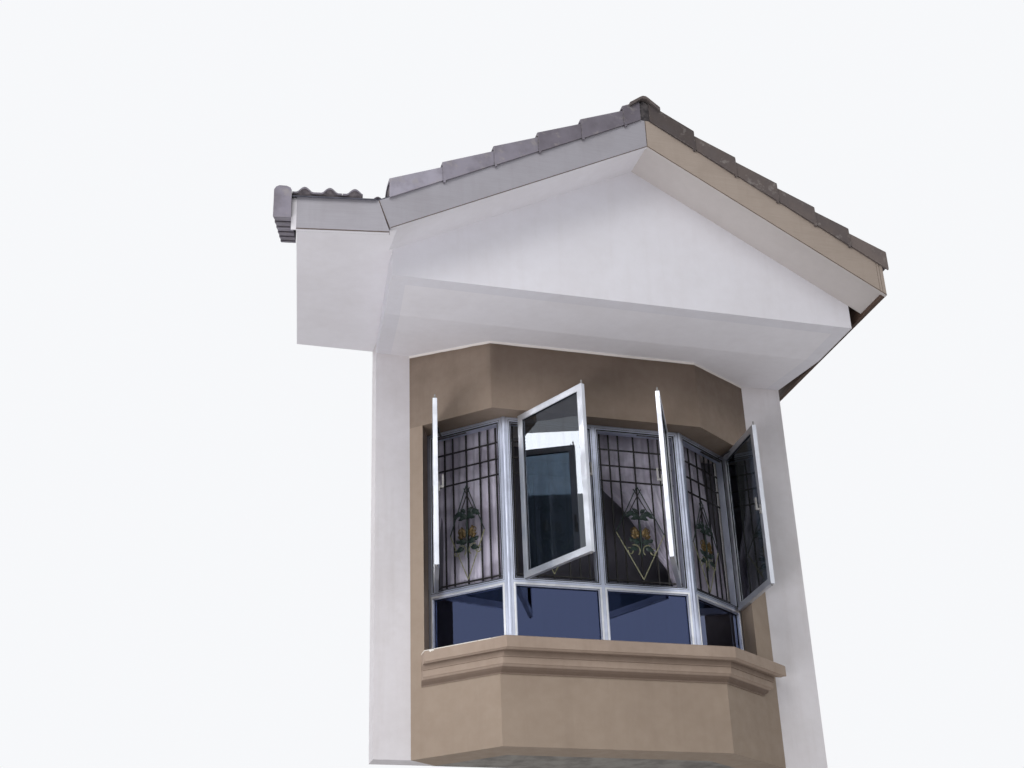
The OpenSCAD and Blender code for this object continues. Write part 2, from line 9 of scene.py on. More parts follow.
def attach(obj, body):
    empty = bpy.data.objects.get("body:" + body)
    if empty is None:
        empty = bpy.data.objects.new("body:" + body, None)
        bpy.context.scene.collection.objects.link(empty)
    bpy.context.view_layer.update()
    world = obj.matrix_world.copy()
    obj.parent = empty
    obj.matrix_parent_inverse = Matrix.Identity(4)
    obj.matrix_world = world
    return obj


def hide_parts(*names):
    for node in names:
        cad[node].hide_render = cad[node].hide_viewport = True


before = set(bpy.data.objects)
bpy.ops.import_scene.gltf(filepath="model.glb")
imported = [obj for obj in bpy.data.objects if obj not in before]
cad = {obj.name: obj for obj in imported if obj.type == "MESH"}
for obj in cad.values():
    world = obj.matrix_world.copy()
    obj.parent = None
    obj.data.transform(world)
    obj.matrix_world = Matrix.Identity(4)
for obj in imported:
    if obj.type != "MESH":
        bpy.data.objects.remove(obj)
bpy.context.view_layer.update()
random.seed(7)
print("frame loaded:", len(cad), "nodes")


def addObject(name, data):
    made = bpy.data.objects.new(name, data)
    bpy.context.scene.collection.objects.link(made)
    return made


def axesPlace(axes, origin):
    # place whose X, Y and Z run along three directions
    place = Matrix(axes).transposed().to_4x4()
    place.translation = origin
    return place


# camera, at the photograph's place: it looks up at the bay from the left
cameraView = {
    "lens": 51.34, "sensor": 36, "yaw": -17.08, "pitch": 26.78, "roll": -2.23,
    "place": (-3.449, -9.724, -2.225),
}


def makeCamera():
    yaw, pitch, roll = (math.radians(cameraView[k]) for k in ("yaw", "pitch", "roll"))
    forward = Vector((-math.sin(yaw) * math.cos(pitch), math.cos(yaw) * math.cos(pitch), math.sin(pitch)))
    level = Vector((math.cos(yaw), math.sin(yaw), 0))
    rising = level.cross(forward)
    right = math.cos(roll) * level + math.sin(roll) * rising
    up = -math.sin(roll) * level + math.cos(roll) * rising
    camera = addObject("camera", bpy.data.cameras.new("camera"))
    camera.data.sensor_width = cameraView["sensor"]
    camera.data.lens = cameraView["lens"]
    camera.matrix_world = axesPlace((right, up, -forward), cameraView["place"])
    bpy.context.scene.camera = camera


makeCamera()


# shader building

def addNode(tree, kind, inputs=None, **settings):
    made = tree.nodes.new(kind)
    for name, value in settings.items():
        setattr(made, name, value)
    for name, value in (inputs or {}).items():
        if isinstance(value, bpy.types.NodeSocket):
            tree.links.new(value, made.inputs[name])
        elif value is not None:
            made.inputs[name].default_value = value
    return made


def mathNode(tree, operation, *values):
    return addNode(tree, "ShaderNodeMath", dict(enumerate(values)), operation=operation).outputs[0]


def times(tree, value, *others):
    for other in others:
        value = mathNode(tree, "MULTIPLY", value, other)
    return value


def colour(tone):
    # sRGB 0-255 to linear
    shares = [v / 255 for v in tone]
    return (*(v / 12.92 if v <= 0.04045 else ((v + 0.055) / 1.055) ** 2.4 for v in shares), 1)


def mix(tree, factor, *tones):
    # two tones, each a socket or an sRGB colour
    first, second = (v if isinstance(v, bpy.types.NodeSocket) else colour(v) for v in tones)
    return addNode(tree, "ShaderNodeMix", {0: factor, 6: first, 7: second}, data_type="RGBA").outputs[2]


def coats(tree, tone, *layers):
    # lays paints over a tone: each layer has its colour, its mask and the mask's share
    for paint, mask, share in layers:
        tone = mix(tree, times(tree, mask, share), tone, paint)
    return tone


def spread(tree, value, low, high, toLow=0.0, toHigh=1.0):
    ends = {"Value": value, "From Min": low, "From Max": high, "To Min": toLow, "To Max": toHigh}
    return addNode(tree, "ShaderNodeMapRange", ends, interpolation_type="SMOOTHSTEP").outputs[0]


def objectPlace(tree, scale=None):
    where = addNode(tree, "ShaderNodeTexCoord").outputs["Object"]
    if scale:
        where = addNode(tree, "ShaderNodeMapping", {"Vector": where, "Scale": scale}).outputs[0]
    return where


def objectAxes(tree):
    return addNode(tree, "ShaderNodeSeparateXYZ", {0: objectPlace(tree)}).outputs


def noise(tree, where, scale, detail, rough=0.5):
    inputs = {"Vector": where, "Scale": scale, "Detail": detail, "Roughness": rough}
    return addNode(tree, "ShaderNodeTexNoise", inputs).outputs[0]


def newGroup(name, inputs, outputs):
    group = bpy.data.node_groups.new(name, "ShaderNodeTree")
    for label, value in inputs.items():
        socket = group.interface.new_socket(name=label, in_out="INPUT", socket_type="NodeSocketFloat")
        socket.default_value = value
    for label in outputs:
        group.interface.new_socket(name=label, in_out="OUTPUT", socket_type="NodeSocketFloat")
    return group, addNode(group, "NodeGroupInput").outputs


def finishGroup(group, *masks):
    leave = addNode(group, "NodeGroupOutput").inputs
    for k, mask in enumerate(masks):
        group.links.new(mask, leave[k])
    return group


# where each mask begins and where it is full
maskReach = {"streak": (0.46, 0.72), "blotch": (0.38, 0.68), "corner": (0.35, 0.95), "chips": (0.42, 0.62)}


def makeStainShadeGroup():
    # rain streaks, blotches, and darkening in corners and under parts by ambient occlusion (painted shade as
    # well as dirt), as one mask each
    group, entry = newGroup("stainsAndCornerShade", {"Streak Width": 9.0, "Blotch Size": 2.2, "Corner Reach": 0.12},
                            ("Streak", "Blotch", "CornerDirtAndShade"))
    streak = noise(group, objectPlace(group, (1, 1, 0.07)), entry[0], 6.0, 0.62)
    blotch = noise(group, objectPlace(group), entry[1], 8.0, 0.58)
    # ambient occlusion darkens where shade falls: painted shade, standing also for dirt
    corner = addNode(group, "ShaderNodeAmbientOcclusion", {"Distance": entry[2]}, samples=6).outputs["AO"]
    return finishGroup(group, spread(group, streak, *maskReach["streak"]),
                       spread(group, blotch, *maskReach["blotch"]),
                       spread(group, corner, *maskReach["corner"], 1.0, 0.0))


def makeEdgeGroup():
    # where the surface turns sharply: chips and wear
    group, entry = newGroup("wornEdge", {"Width": 0.01, "Break Up": 40.0}, ("Edge",))
    rounded = addNode(group, "ShaderNodeBevel", {"Radius": entry[0]}, samples=4).outputs[0]
    true = addNode(group, "ShaderNodeNewGeometry").outputs["Normal"]
    same = addNode(group, "ShaderNodeVectorMath", {0: rounded, 1: true}, operation="DOT_PRODUCT")
    turning = spread(group, same.outputs["Value"], 0.82, 0.995, 1.0, 0.0)
    broken = noise(group, objectPlace(group), entry[1], 5.0)
    return finishGroup(group, times(group, turning, spread(group, broken, *maskReach["chips"])))


def makeGrainGroup():
    # trowelled render and brushed paint, as a height
    group, entry = newGroup("surfaceGrain", {"Fine": 260.0, "Coarse": 14.0, "Share": 0.5},
                            ("Height", "Value"))
    fine = noise(group, objectPlace(group), entry[0], 3.0)
    coarse = noise(group, objectPlace(group), entry[1], 5.0, 0.6)
    rest = mathNode(group, "SUBTRACT", 1.0, entry[2])
    height = mathNode(group, "ADD", times(group, fine, entry[2]), times(group, coarse, rest))
    return finishGroup(group, height, coarse)


stainShadeGroup = makeStainShadeGroup()
edgeGroup = makeEdgeGroup()
grainGroup = makeGrainGroup()
skins = {}


def newMaterial(name, **settings):
    skins[name] = bpy.data.materials.new(name)
    skins[name].use_nodes = True
    tree = skins[name].node_tree
    shader = tree.nodes["Principled BSDF"]
    for label, value in settings.items():
        shader.inputs[label.replace("_", " ")].default_value = value
    return tree, shader


def addGroup(tree, group, **inputs):
    made = addNode(tree, "ShaderNodeGroup", node_tree=group)
    for name, value in inputs.items():
        made.inputs[name.replace("_", " ")].default_value = value
    return made.outputs


def dress(tree, shader, tone, rough=None, height=None, strength=0.0, distance=0.0):
    # leads a tone, a roughness and a bump into the shader
    tree.links.new(tone, shader.inputs["Base Color"])
    if rough:
        tree.links.new(rough, shader.inputs["Roughness"])
    if height:
        inputs = {"Height": height, "Strength": strength, "Distance": distance}
        tree.links.new(addNode(tree, "ShaderNodeBump", inputs).outputs[0], shader.inputs["Normal"])


# paints and metals

# the soffit's white line along the band's top, and the hood's painted shade on the band: its tone, the
# heights it grows over and its weaker left end
headBand = {
    "lineDrop": 0.024, "creaseY": -0.921, "creaseZ": 2.880, "wallY": -0.150, "climb": 0.100, "waver": 0.008,
    "soft": 0.004, "white": (226, 220, 214), "paintedShade": (84, 70, 62), "shadeRise": (2.42, 2.80),
    "shadeEdge": (-0.86, -0.76), "shadeShare": (0.1, 0.62),
}


def shadeBandAndLine(tree, tone):
    # painted shade under the hood, stronger towards the top and weaker at the left end, and the soffit's
    # white carried over the band's top edge
    x, y, z = objectAxes(tree)
    slope = headBand["climb"] / (headBand["wallY"] - headBand["creaseY"])
    soffit = mathNode(tree, "MULTIPLY_ADD", mathNode(tree, "SUBTRACT", y, headBand["creaseY"]),
                      slope, headBand["creaseZ"] - headBand["lineDrop"])
    line = mathNode(tree, "MULTIPLY_ADD", noise(tree, None, 5.0, 2.0), headBand["waver"], soffit)
    above = spread(tree, mathNode(tree, "SUBTRACT", z, line), 0.0, headBand["soft"])
    paintedShade = times(tree, spread(tree, z, *headBand["shadeRise"]),
                 spread(tree, x, *headBand["shadeEdge"], *headBand["shadeShare"]))
    return mix(tree, above, mix(tree, paintedShade, tone, headBand["paintedShade"]), headBand["white"])


sillWear = {
    "top": 0.650, "flakesFrom": -1.23, "flakesTo": -1.08, "flakesDeep": 0.055, "lineTo": -0.80,
    "line": 0.0065, "white": (240, 236, 228), "dirt": (84, 66, 54),
    # lower and upper edge of each hollow, and the share of its darkening, painted shade as well as dirt
    "hollows": ((0.416, 0.468, 0.76), (0.521, 0.566, 0.36)),
}


def wearAndShadeSill(tree, tone):
    # darker in the moulding's hollows (painted shade as well as dirt), worn through to white at its left end
    x, y, z = objectAxes(tree)
    for low, high, share in sillWear["hollows"]:
        inside = times(tree, spread(tree, z, low - 0.004, low + 0.010),
                       spread(tree, z, high - 0.012, high, 1.0, 0.0))
        tone = coats(tree, tone, (sillWear["dirt"], inside, share))
    top = sillWear["top"]
    flakes = noise(tree, objectPlace(tree), 30.0, 6.0, 0.65)
    near = spread(tree, x, sillWear["flakesFrom"], sillWear["flakesTo"], 1.0, 0.0)
    high = spread(tree, z, top - sillWear["flakesDeep"], top - 0.012)
    bound = mathNode(tree, "MULTIPLY_ADD", times(tree, near, high), -0.27, 0.80)
    chips = spread(tree, mathNode(tree, "SUBTRACT", flakes, bound), 0.0, 0.02)
    # a thin white line runs on along the upper edge
    along = spread(tree, x, sillWear["lineTo"] - 0.10, sillWear["lineTo"], 1.0, 0.0)
    edge = spread(tree, z, top - sillWear["line"] - 0.001, top - sillWear["line"])
    line = times(tree, along, edge, spread(tree, flakes, 0.36, 0.42))
    front = spread(tree, z, top - 0.0006, top - 0.0002, 1.0, 0.0)
    return mix(tree, times(tree, mathNode(tree, "MAXIMUM", chips, line), front), tone, sillWear["white"])


# paint, dirt (which the corner mask also uses as painted shade), the dirt's share in every mask, and what
# else darkens or wears it
masonryPaint = {
    "wallPaint": ((233, 230, 234), (176, 166, 160), {"Blotch": 0.14, "Streak": 0.14, "CornerDirtAndShade": 0.30}),
    "gablePaint": ((230, 229, 236), (196, 190, 190), {"Blotch": 0.12, "Streak": 0.10, "CornerDirtAndShade": 0.14}),
    "soffitPaint": ((238, 236, 241), (196, 190, 190), {"Blotch": 0.14, "Streak": 0.03, "CornerDirtAndShade": 0.18}),
    "shadedSoffit": ((196, 190, 187), (160, 152, 148), {"Blotch": 0.14, "Streak": 0.03, "CornerDirtAndShade": 0.18}),
    "apronPaint": ((164, 147, 131), (122, 105, 91), {"Blotch": 0.18, "Streak": 0.14, "CornerDirtAndShade": 0.30}),
    "sillPaint": ((176, 157, 142), (98, 80, 66), {"Blotch": 0.14, "Streak": 0.12, "CornerDirtAndShade": 0.80}, wearAndShadeSill),
    # written darker than the apron: painted shade of the hood
    "shadedBandPaint": ((148, 132, 118), (98, 80, 64), {"Blotch": 0.22, "Streak": 0.14, "CornerDirtAndShade": 0.60}, shadeBandAndLine),
}
masonryGrain = {"fineShare": 0.35, "mottle": 0.22, "rough": (0.72, 0.9), "bump": (0.35, 0.004)}


def makeMasonry(name, paint, dirt, shares, wearAndShade=None):
    # painted render: mottled, streaked by rain, darker in its corners (painted shade as well as dirt)
    tree, shader = newMaterial(name, Roughness=0.82)
    stainsAndShade = addGroup(tree, stainShadeGroup)
    grain = addGroup(tree, grainGroup, Share=masonryGrain["fineShare"])
    tone = coats(tree, paint, (dirt, grain["Value"], masonryGrain["mottle"]),
                 *((dirt, stainsAndShade[mask], share) for mask, share in shares.items()))
    if wearAndShade:
        tone = wearAndShade(tree, tone)
    rough = spread(tree, grain["Value"], 0.3, 0.7, *masonryGrain["rough"])
    dress(tree, shader, tone, rough, grain["Height"], *masonryGrain["bump"])


# paint, worn edge, dirt
boardPaint = {
    "bargePaint": ((166, 164, 172), (190, 188, 192), (126, 120, 122)),
    # the right board: a warmer, browner copy of the barge paint, painted warm light
    "warmLitBarge": ((172, 158, 147), (194, 182, 172), (128, 114, 102)),
    "eavePaint": ((82, 62, 50), (120, 96, 80), (44, 32, 26)),
    "jointAndShadowPaint": ((88, 74, 64), (120, 104, 92), (52, 42, 36)),
}


def makeBoardPaint(name, paint, worn, dirt):
    # painted fascia board: faint grain, dirty streaks, wear along its edges
    tree, shader = newMaterial(name, Roughness=0.6)
    stainsAndShade = addGroup(tree, stainShadeGroup, Streak_Width=16.0, Blotch_Size=3.5)
    edge = addGroup(tree, edgeGroup, Width=0.008, Break_Up=22.0)
    fibres = noise(tree, objectPlace(tree, (2, 2, 60)), 3.0, 5.0)
    tone = coats(tree, paint, (dirt, fibres, 0.25), (dirt, stainsAndShade["Streak"], 0.10),
                 (dirt, stainsAndShade["Blotch"], 0.16), (worn, edge[0], 0.5))
    dress(tree, shader, tone, spread(tree, fibres, 0.3, 0.7, 0.5, 0.72), fibres, 0.25, 0.002)


# metal and its roughness
aluminium = {
    "windowAluminium": ((214, 220, 238), 0.46),
    # lighter copy for the beads round the fixed panes: painted highlight
    "highlightAluminium": ((246, 247, 250), 0.5),
    "sashAluminium": ((212, 215, 223), 0.44),
}
# grey weathering, and the corners' tone: painted shade as well as dirt
metalDirt = {"grey": (150, 152, 158), "corners": (86, 84, 84)}


def makeAluminium(name, base, rough):
    # anodised sections, brushed along their length, greyed by the weather, darker in their corners (painted
    # shade as well as dirt)
    tree, shader = newMaterial(name, Metallic=0.85, Roughness=rough)
    stainsAndShade = addGroup(tree, stainShadeGroup, Streak_Width=24.0, Blotch_Size=7.0, Corner_Reach=0.03)
    brushed = noise(tree, objectPlace(tree, (300, 300, 3)), 1.0, 2.0)
    tone = coats(tree, base, (metalDirt["grey"], stainsAndShade["Blotch"], 0.18),
                 (metalDirt["corners"], stainsAndShade["CornerDirtAndShade"], 0.45))
    skin = spread(tree, stainsAndShade["Blotch"], 0.0, 1.0, rough - 0.06, rough + 0.12)
    dress(tree, shader, tone, skin, brushed, 0.05, 0.0005)


# tint, film of dust, tint of its gloss, index of refraction
glassKinds = {
    "paneGlass": ((50, 56, 76), (28, 30, 40), (0.42, 0.53, 1.0, 1), 2.15),
    "sashGlass": ((72, 84, 96), (38, 42, 50), (0.86, 0.91, 1.0, 1), 1.9),
}


def makeGlass(name, tint, film, gloss, refraction):
    # dark tinted glass with a thin film of dust that rain has streaked
    tree, shader = newMaterial(name, IOR=refraction, Transmission_Weight=1.0, Specular_Tint=gloss)
    stainsAndShade = addGroup(tree, stainShadeGroup, Streak_Width=14.0, Blotch_Size=1.6)
    tone = coats(tree, tint, (film, stainsAndShade["Streak"], 0.5))
    dress(tree, shader, tone, spread(tree, stainsAndShade["Blotch"], 0.2, 1.0, 0.0, 0.015))


# darkest and lightest tile
tileTones = {
    "roofTile": ((108, 102, 112), (172, 168, 182)),
    "brownTile": ((79, 70, 68), (134, 122, 117)),
}
tileDirt = {"blotch": (80, 75, 80), "lichen": (164, 158, 154), "edge": (184, 178, 174), "paintedShade": (46, 41, 42)}


def makeTileSkin(name, dark, light):
    # weathered concrete tiles: each its own tone, lichen on top, darker where they lap and in hollows
    # (painted shade)
    tree, shader = newMaterial(name, Roughness=0.85)
    stainsAndShade = addGroup(tree, stainShadeGroup, Streak_Width=6.0, Blotch_Size=5.0, Corner_Reach=0.05)
    grain = addGroup(tree, grainGroup, Fine=420.0, Coarse=34.0, Share=0.5)
    edge = addGroup(tree, edgeGroup, Width=0.006, Break_Up=30.0)
    tint = addNode(tree, "ShaderNodeAttribute", attribute_name="tint").outputs["Fac"]
    lichen = noise(tree, objectPlace(tree), 11.0, 9.0, 0.7)
    tone = coats(tree, mix(tree, tint, dark, light), (tileDirt["blotch"], stainsAndShade["Blotch"], 0.45),
                 (tileDirt["lichen"], spread(tree, lichen, 0.54, 0.66), 0.4),
                 (tileDirt["edge"], edge[0], 0.5), (tileDirt["paintedShade"], stainsAndShade["CornerDirtAndShade"], 0.6))
    dress(tree, shader, tone, spread(tree, lichen, 0.3, 0.7, 0.75, 0.95), grain["Height"], 0.6, 0.003)


# two tones, size of the patches, roughness, metallic, strength and depth of the bumps
mottled = {
    "eaveMortar": ((124, 117, 120), (88, 83, 88), 24.0, 0.9, 0.0, 0.6, 0.004),
    "floorConcrete": ((150, 146, 140), (118, 114, 110), 6.0, 0.85, 0.0, 0.3, 0.002),
    # mortar toned dark as painted shade in the hollows at the ridge
    "shadedMortarBed": ((84, 79, 80), (50, 47, 50), 24.0, 0.9, 0.0, 0.7, 0.006),
    "handleEnamel": ((150, 149, 148), (116, 114, 112), 40.0, 0.4, 0.0, 0.05, 0.002),
    "staySteel": ((122, 122, 124), (84, 80, 78), 60.0, 0.42, 0.9, 0.1, 0.002),
    "blackGasket": ((34, 34, 36), (22, 22, 24), 80.0, 0.6, 0.0, 0.1, 0.002),
    "grilleIron": ((36, 32, 32), (20, 18, 20), 50.0, 0.5, 0.0, 0.2, 0.001),
    "grilleGilt": ((116, 94, 54), (70, 57, 34), 60.0, 0.45, 0.3, 0.15, 0.002),
    "leafGreen": ((47, 65, 58), (26, 40, 37), 60.0, 0.5, 0.0, 0.2, 0.002),
    "scrollPaint": ((168, 166, 134), (116, 118, 92), 60.0, 0.5, 0.0, 0.2, 0.002),
    "valleySheet": ((92, 92, 104), (66, 66, 76), 8.0, 0.6, 0.3, 0.3, 0.002),
}


def makeMottled(name, first, second, scale, rough, metallic, *bump):
    # two tones in cloudy patches, with a rough skin
    tree, shader = newMaterial(name, Roughness=rough, Metallic=metallic)
    clouds = noise(tree, objectPlace(tree), scale, 7.0, 0.6)
    dress(tree, shader, mix(tree, spread(tree, clouds, 0.35, 0.68), first, second),
          spread(tree, clouds, 0.3, 0.7, rough - 0.08, min(rough + 0.1, 1)), clouds, *bump)


clothTones = {"pale": (214, 209, 224), "deep": (172, 166, 182), "weave": (160, 152, 158)}


def makeCloth():
    # thin grey curtain cloth with a fine weave
    tree, shader = newMaterial("curtainCloth", Roughness=0.9, Sheen_Weight=0.3)
    threads = {"Vector": objectPlace(tree), "Scale": 160.0, "Distortion": 0.6}
    weave = times(tree, *(addNode(tree, "ShaderNodeTexWave", threads, bands_direction=way).outputs["Fac"]
                          for way in ("X", "Z")))
    clouds = spread(tree, noise(tree, objectPlace(tree), 4.0, 4.0), 0.4, 0.6)
    tone = mix(tree, clouds, clothTones["pale"], clothTones["deep"])
    dress(tree, shader, coats(tree, tone, (clothTones["weave"], weave, 0.15)), None, weave, 0.3, 0.0008)


for make, kinds in ((makeMasonry, masonryPaint), (makeBoardPaint, boardPaint), (makeAluminium, aluminium),
                    (makeGlass, glassKinds), (makeTileSkin, tileTones), (makeMottled, mottled)):
    for name, values in kinds.items():
        make(name, *values)
makeCloth()
print("materials made")


# finishes of the CAD nodes

finishes = {
    "wallPaint": ("wall_pier", "wall_right", "wall_lintel", "wall_upper"),
    "gablePaint": ("gable_wall", "cheek_left", "cheek_right"),
    "soffitPaint": ("hood_soffit", "verge_soffit_left", "return_soffit", "return_side"),
    "shadedSoffit": ("verge_soffit_right",),
    "apronPaint": ("apron_left", "apron_front", "apron_right", "strip_left", "strip_right"),
    "shadedBandPaint": ("band_left", "band_front", "band_right"),
    "sillPaint": ("sill_left", "sill_front", "sill_right"),
    "floorConcrete": ("bay_floor",),
    "windowAluminium": ("frame_left", "frame_front", "frame_right", "post_left", "post_right"),
    "sashAluminium": ("sash_1", "sash_2", "sash_3", "sash_4"),
    "paneGlass": ("fixed_panes",),
    "sashGlass": ("sash_panes",),
    "handleEnamel": ("sash_handles",),
    "staySteel": ("sash_stays",),
    "bargePaint": ("barge_left", "return_board"),
    "warmLitBarge": ("barge_right",),
    "eavePaint": ("eave_right_board",),
}
edgeRounding = {"frame": 0.0015, "post": 0.003, "sash": 0.0018, "barge": 0.0015, "eave": 0.003}
unrounded = ("sash_panes", "sash_handles", "sash_stays")
weldReach = 0.00005


def roundEdges(piece, width, angle):
    bevel = piece.modifiers.new("roundedEdges", "BEVEL")
    bevel.width = width
    bevel.segments = 2
    bevel.limit_method = "ANGLE"
    bevel.angle_limit = math.radians(angle)


def finishNode(name, skin):
    node = cad[name]
    node.data.materials.clear()
    node.data.materials.append(skins[skin])
    width = edgeRounding.get(name.split("_")[0])
    if width and name not in unrounded:
        node.modifiers.new("weld", "WELD").merge_threshold = weldReach
        roundEdges(node, width, 32)
        node.modifiers.new("evenShading", "WEIGHTED_NORMAL")


for skin, names in finishes.items():
    for name in names:
        finishNode(name, skin)
print("CAD nodes finished")


# mesh building: a shape collects what the other functions make, each a list of points and a list of faces

def newShape():
    return {"verts": [], "faces": [], "tint": []}


def addShape(shape, made, place=None, tint=0.5):
    verts, faces = made
    start = len(shape["verts"])
    shape["verts"] += [place @ Vector(v) if place else Vector(v) for v in verts]
    shape["faces"] += [[start + k for k in face] for face in faces]
    shape["tint"] += [tint] * len(verts)


def makePiece(name, shape, skin, replaced=(), rounding=0.0, smooth=None):
    mesh = bpy.data.meshes.new(name)
    mesh.from_pydata([tuple(v) for v in shape["verts"]], [], shape["faces"])
    mesh.attributes.new("tint", "FLOAT", "POINT").data.foreach_set("value", shape["tint"])
    work = bmesh.new()
    work.from_mesh(mesh)
    bmesh.ops.recalc_face_normals(work, faces=work.faces)
    work.to_mesh(mesh)
    work.free()
    mesh.materials.append(skins[skin])
    piece = addObject(name, mesh)
    if smooth:
        mesh.shade_smooth()
        mesh.set_sharp_from_angle(angle=math.radians(smooth))
    if rounding:
        roundEdges(piece, rounding, 35)
    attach(piece, "root")
    if replaced:
        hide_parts(*replaced)
    return piece


def loftShape(*rings):
    # closed tube through rings of equal count, shut at both ends
    sides = len(rings[0])
    verts = [p for ring in rings for p in ring]
    last = len(verts) - sides
    faces = [tuple(range(sides)), tuple(reversed(range(last, last + sides)))]
    for k in range(0, last, sides):
        for i in range(sides):
            j = (i + 1) % sides
            faces.append((k + i, k + j, k + sides + j, k + sides + i))
    return verts, faces


def prismShape(outline, start, end):
    # closed outline of (x, z) points, run along Y
    return loftShape(*([(x, y, z) for x, z in outline] for y in (start, end)))


def barShape(start, end, width, depth, across):
    # rectangular bar between two points; across gives its width's direction
    start, end, across = Vector(start), Vector(end), Vector(across)
    along = (end - start).normalized()
    side = (across - along * along.dot(across)).normalized()
    back = along.cross(side)
    return loftShape(*([p + side * (i * width / 2) + back * (j * depth / 2)
                        for i, j in ((-1, -1), (1, -1), (1, 1), (-1, 1))] for p in (start, end)))


def rodShape(points, radius, sides=8):
    # round rod along a line of points, with one radius or one for each point
    points = [Vector(p) for p in points]
    radii = radius if hasattr(radius, "__len__") else [radius] * len(points)
    turns = [2 * math.pi * i / sides for i in range(sides)]
    up, rings = None, []
    for k, point in enumerate(points):
        along = (points[min(k + 1, len(points) - 1)] - points[max(k - 1, 0)]).normalized()
        if up is None:
            up = along.orthogonal().normalized()
        up = (up - along * up.dot(along)).normalized()
        side = along.cross(up)
        rings.append([point + (up * math.cos(a) + side * math.sin(a)) * radii[k] for a in turns])
    return loftShape(*rings)


def clipShape(made, planes):
    # cuts a closed shape back to the inner side of each plane (point, outward direction) and closes it again
    verts, faces = made
    if not any((Vector(v) - Vector(p)).dot(Vector(d)) > 0 for v in verts for p, d in planes):
        return made
    work = bmesh.new()
    corners = [work.verts.new(v) for v in verts]
    for face in faces:
        work.faces.new([corners[k] for k in face])
    for point, outward in planes:
        if not work.verts:
            break
        bmesh.ops.bisect_plane(work, geom=work.verts[:] + work.edges[:] + work.faces[:], dist=1e-6,
                               plane_co=point, plane_no=outward, clear_outer=True)
        openEdges = [e for e in work.edges if e.is_boundary]
        if openEdges:
            bmesh.ops.holes_fill(work, edges=openEdges, sides=0)
    work.verts.index_update()
    result = [v.co.copy() for v in work.verts], [[v.index for v in f.verts] for f in work.faces]
    work.free()
    return result


# roof

roof = {
    "peakX": 0.078, "peakZ": 4.245, "eaveZ": 3.235, "eaveLeft": -1.880, "eaveRight": 1.840,
    "slopeLeft": 0.51583, "slopeRight": 0.57321, "boardFront": -1.781, "vergeFront": -1.801,
    "tileOver": 0.040, "returnTurn": 8.7, "returnLength": 0.533, "returnOver": 0.150,
    "valleyLeft": 0.105, "valleyRight": 0.068, "fieldStart": 0.110, "returnField": (-0.567, 1.8),
    "firstCourse": 0.105, "peakGap": 0.012, "returnGap": 0.105, "topTail": -0.09, "returnRows": 7,
}
rollTile = {
    "tints": (0.12, 0.52), "pitch": 0.164, "rolls": 2, "length": 0.435, "thick": 0.013, "rollHeight": 0.034,
    "rollShare": 0.62, "rollPower": 1.3, "tailLift": 0.024, "headLift": 0.008, "steps": 26, "gap": 0.0015,
    "gauge": 0.36, "slip": 0.005, "sink": 0.002, "skew": 0.004,
    # dips of the tile's top, from its tail to its head
    "dips": ((0.0, -0.004), (0.005, 0.0), (0.20, 0.0006), (0.435, 0.0)),
}
# distances of the tiles' tails from the peak, down each slope
slopeTails = {
    "left": (0.190, 0.563, 0.933, 1.300, 1.711, 2.123),
    "right": (0.428, 0.784, 1.141, 1.463, 1.755, 2.077),
}

tileWidth = rollTile["pitch"] * rollTile["rolls"]
slopeAngle = {"left": math.atan(roof["slopeLeft"]), "right": math.atan(roof["slopeRight"])}
slopeAngle["return"] = slopeAngle["left"]
turn = math.radians(roof["returnTurn"])
alongReturn = Vector((math.cos(turn), -math.sin(turn), 0))
backReturn = Vector((math.sin(turn), math.cos(turn), 0))
upward = Vector((0, 0, 1))
kink = Vector((roof["eaveLeft"], roof["boardFront"], roof["eaveZ"]))
# points to the gable's side of the valley
valleyNormal = Vector((1, -math.cos(turn) / (1 - math.sin(turn)), 0)).normalized()
wallPlane = ((0, 0, 0), (0, 1, 0))


def sidePlane(x, side):
    # keeps what lies on the inner side of an upright plane at x
    return ((x, 0, 0), (side, 0, 0))


rightEnd = sidePlane(roof["eaveRight"] + roof["tileOver"], 1)


def slopePlace(which):
    # frame of a slope: along the eave, up the slope, square off it; its origin on the deck's surface
    peak = Vector((roof["peakX"], 0, roof["peakZ"]))
    level, along, origin = {
        "left": (Vector((1, 0, 0)), Vector((0, -1, 0)), peak),
        "right": (Vector((-1, 0, 0)), Vector((0, 1, 0)), peak),
        "return": (backReturn, alongReturn, kink),
    }[which]
    up = level * math.cos(slopeAngle[which]) + upward * math.sin(slopeAngle[which])
    return axesPlace((along, up, along.cross(up)), origin)


def rollSection(t):
    # height of the tile's top over its pan, at t along its width
    phase = (t / rollTile["pitch"]) % 1
    rise = 1 - abs(phase - 0.5) / (rollTile["rollShare"] / 2)
    return rollTile["rollHeight"] * math.sin(max(rise, 0) * math.pi / 2) ** rollTile["rollPower"]


def tileShape():
    # one tile, its tail at 0 and its head up the slope
    steps, thick, gap, rows = (rollTile[k] for k in ("steps", "thick", "gap", "dips"))
    across = [gap + (tileWidth - 2 * gap) * k / steps for k in range(steps + 1)]
    verts = [(t, v, rollSection(t) + (dip if top else -thick)) for top in (True, False) for v, dip in rows
             for t in across]
    row = steps + 1
    under = row * len(rows)
    last = under - row
    faces = []
    for a in range(0, last, row):
        for b in range(a, a + steps):
            faces.append((b, b + 1, b + row + 1, b + row))
            faces.append((under + b, under + b + row, under + b + row + 1, under + b + 1))
        faces.append((a, a + row, under + a + row, under + a))
        faces.append((a + steps, under + a + steps, under + a + steps + row, a + steps + row))
    for k in range(steps):
        faces.append((k, under + k, under + k + 1, k + 1))
        faces.append((last + k, last + k + 1, under + last + k + 1, under + last + k))
    return verts, faces


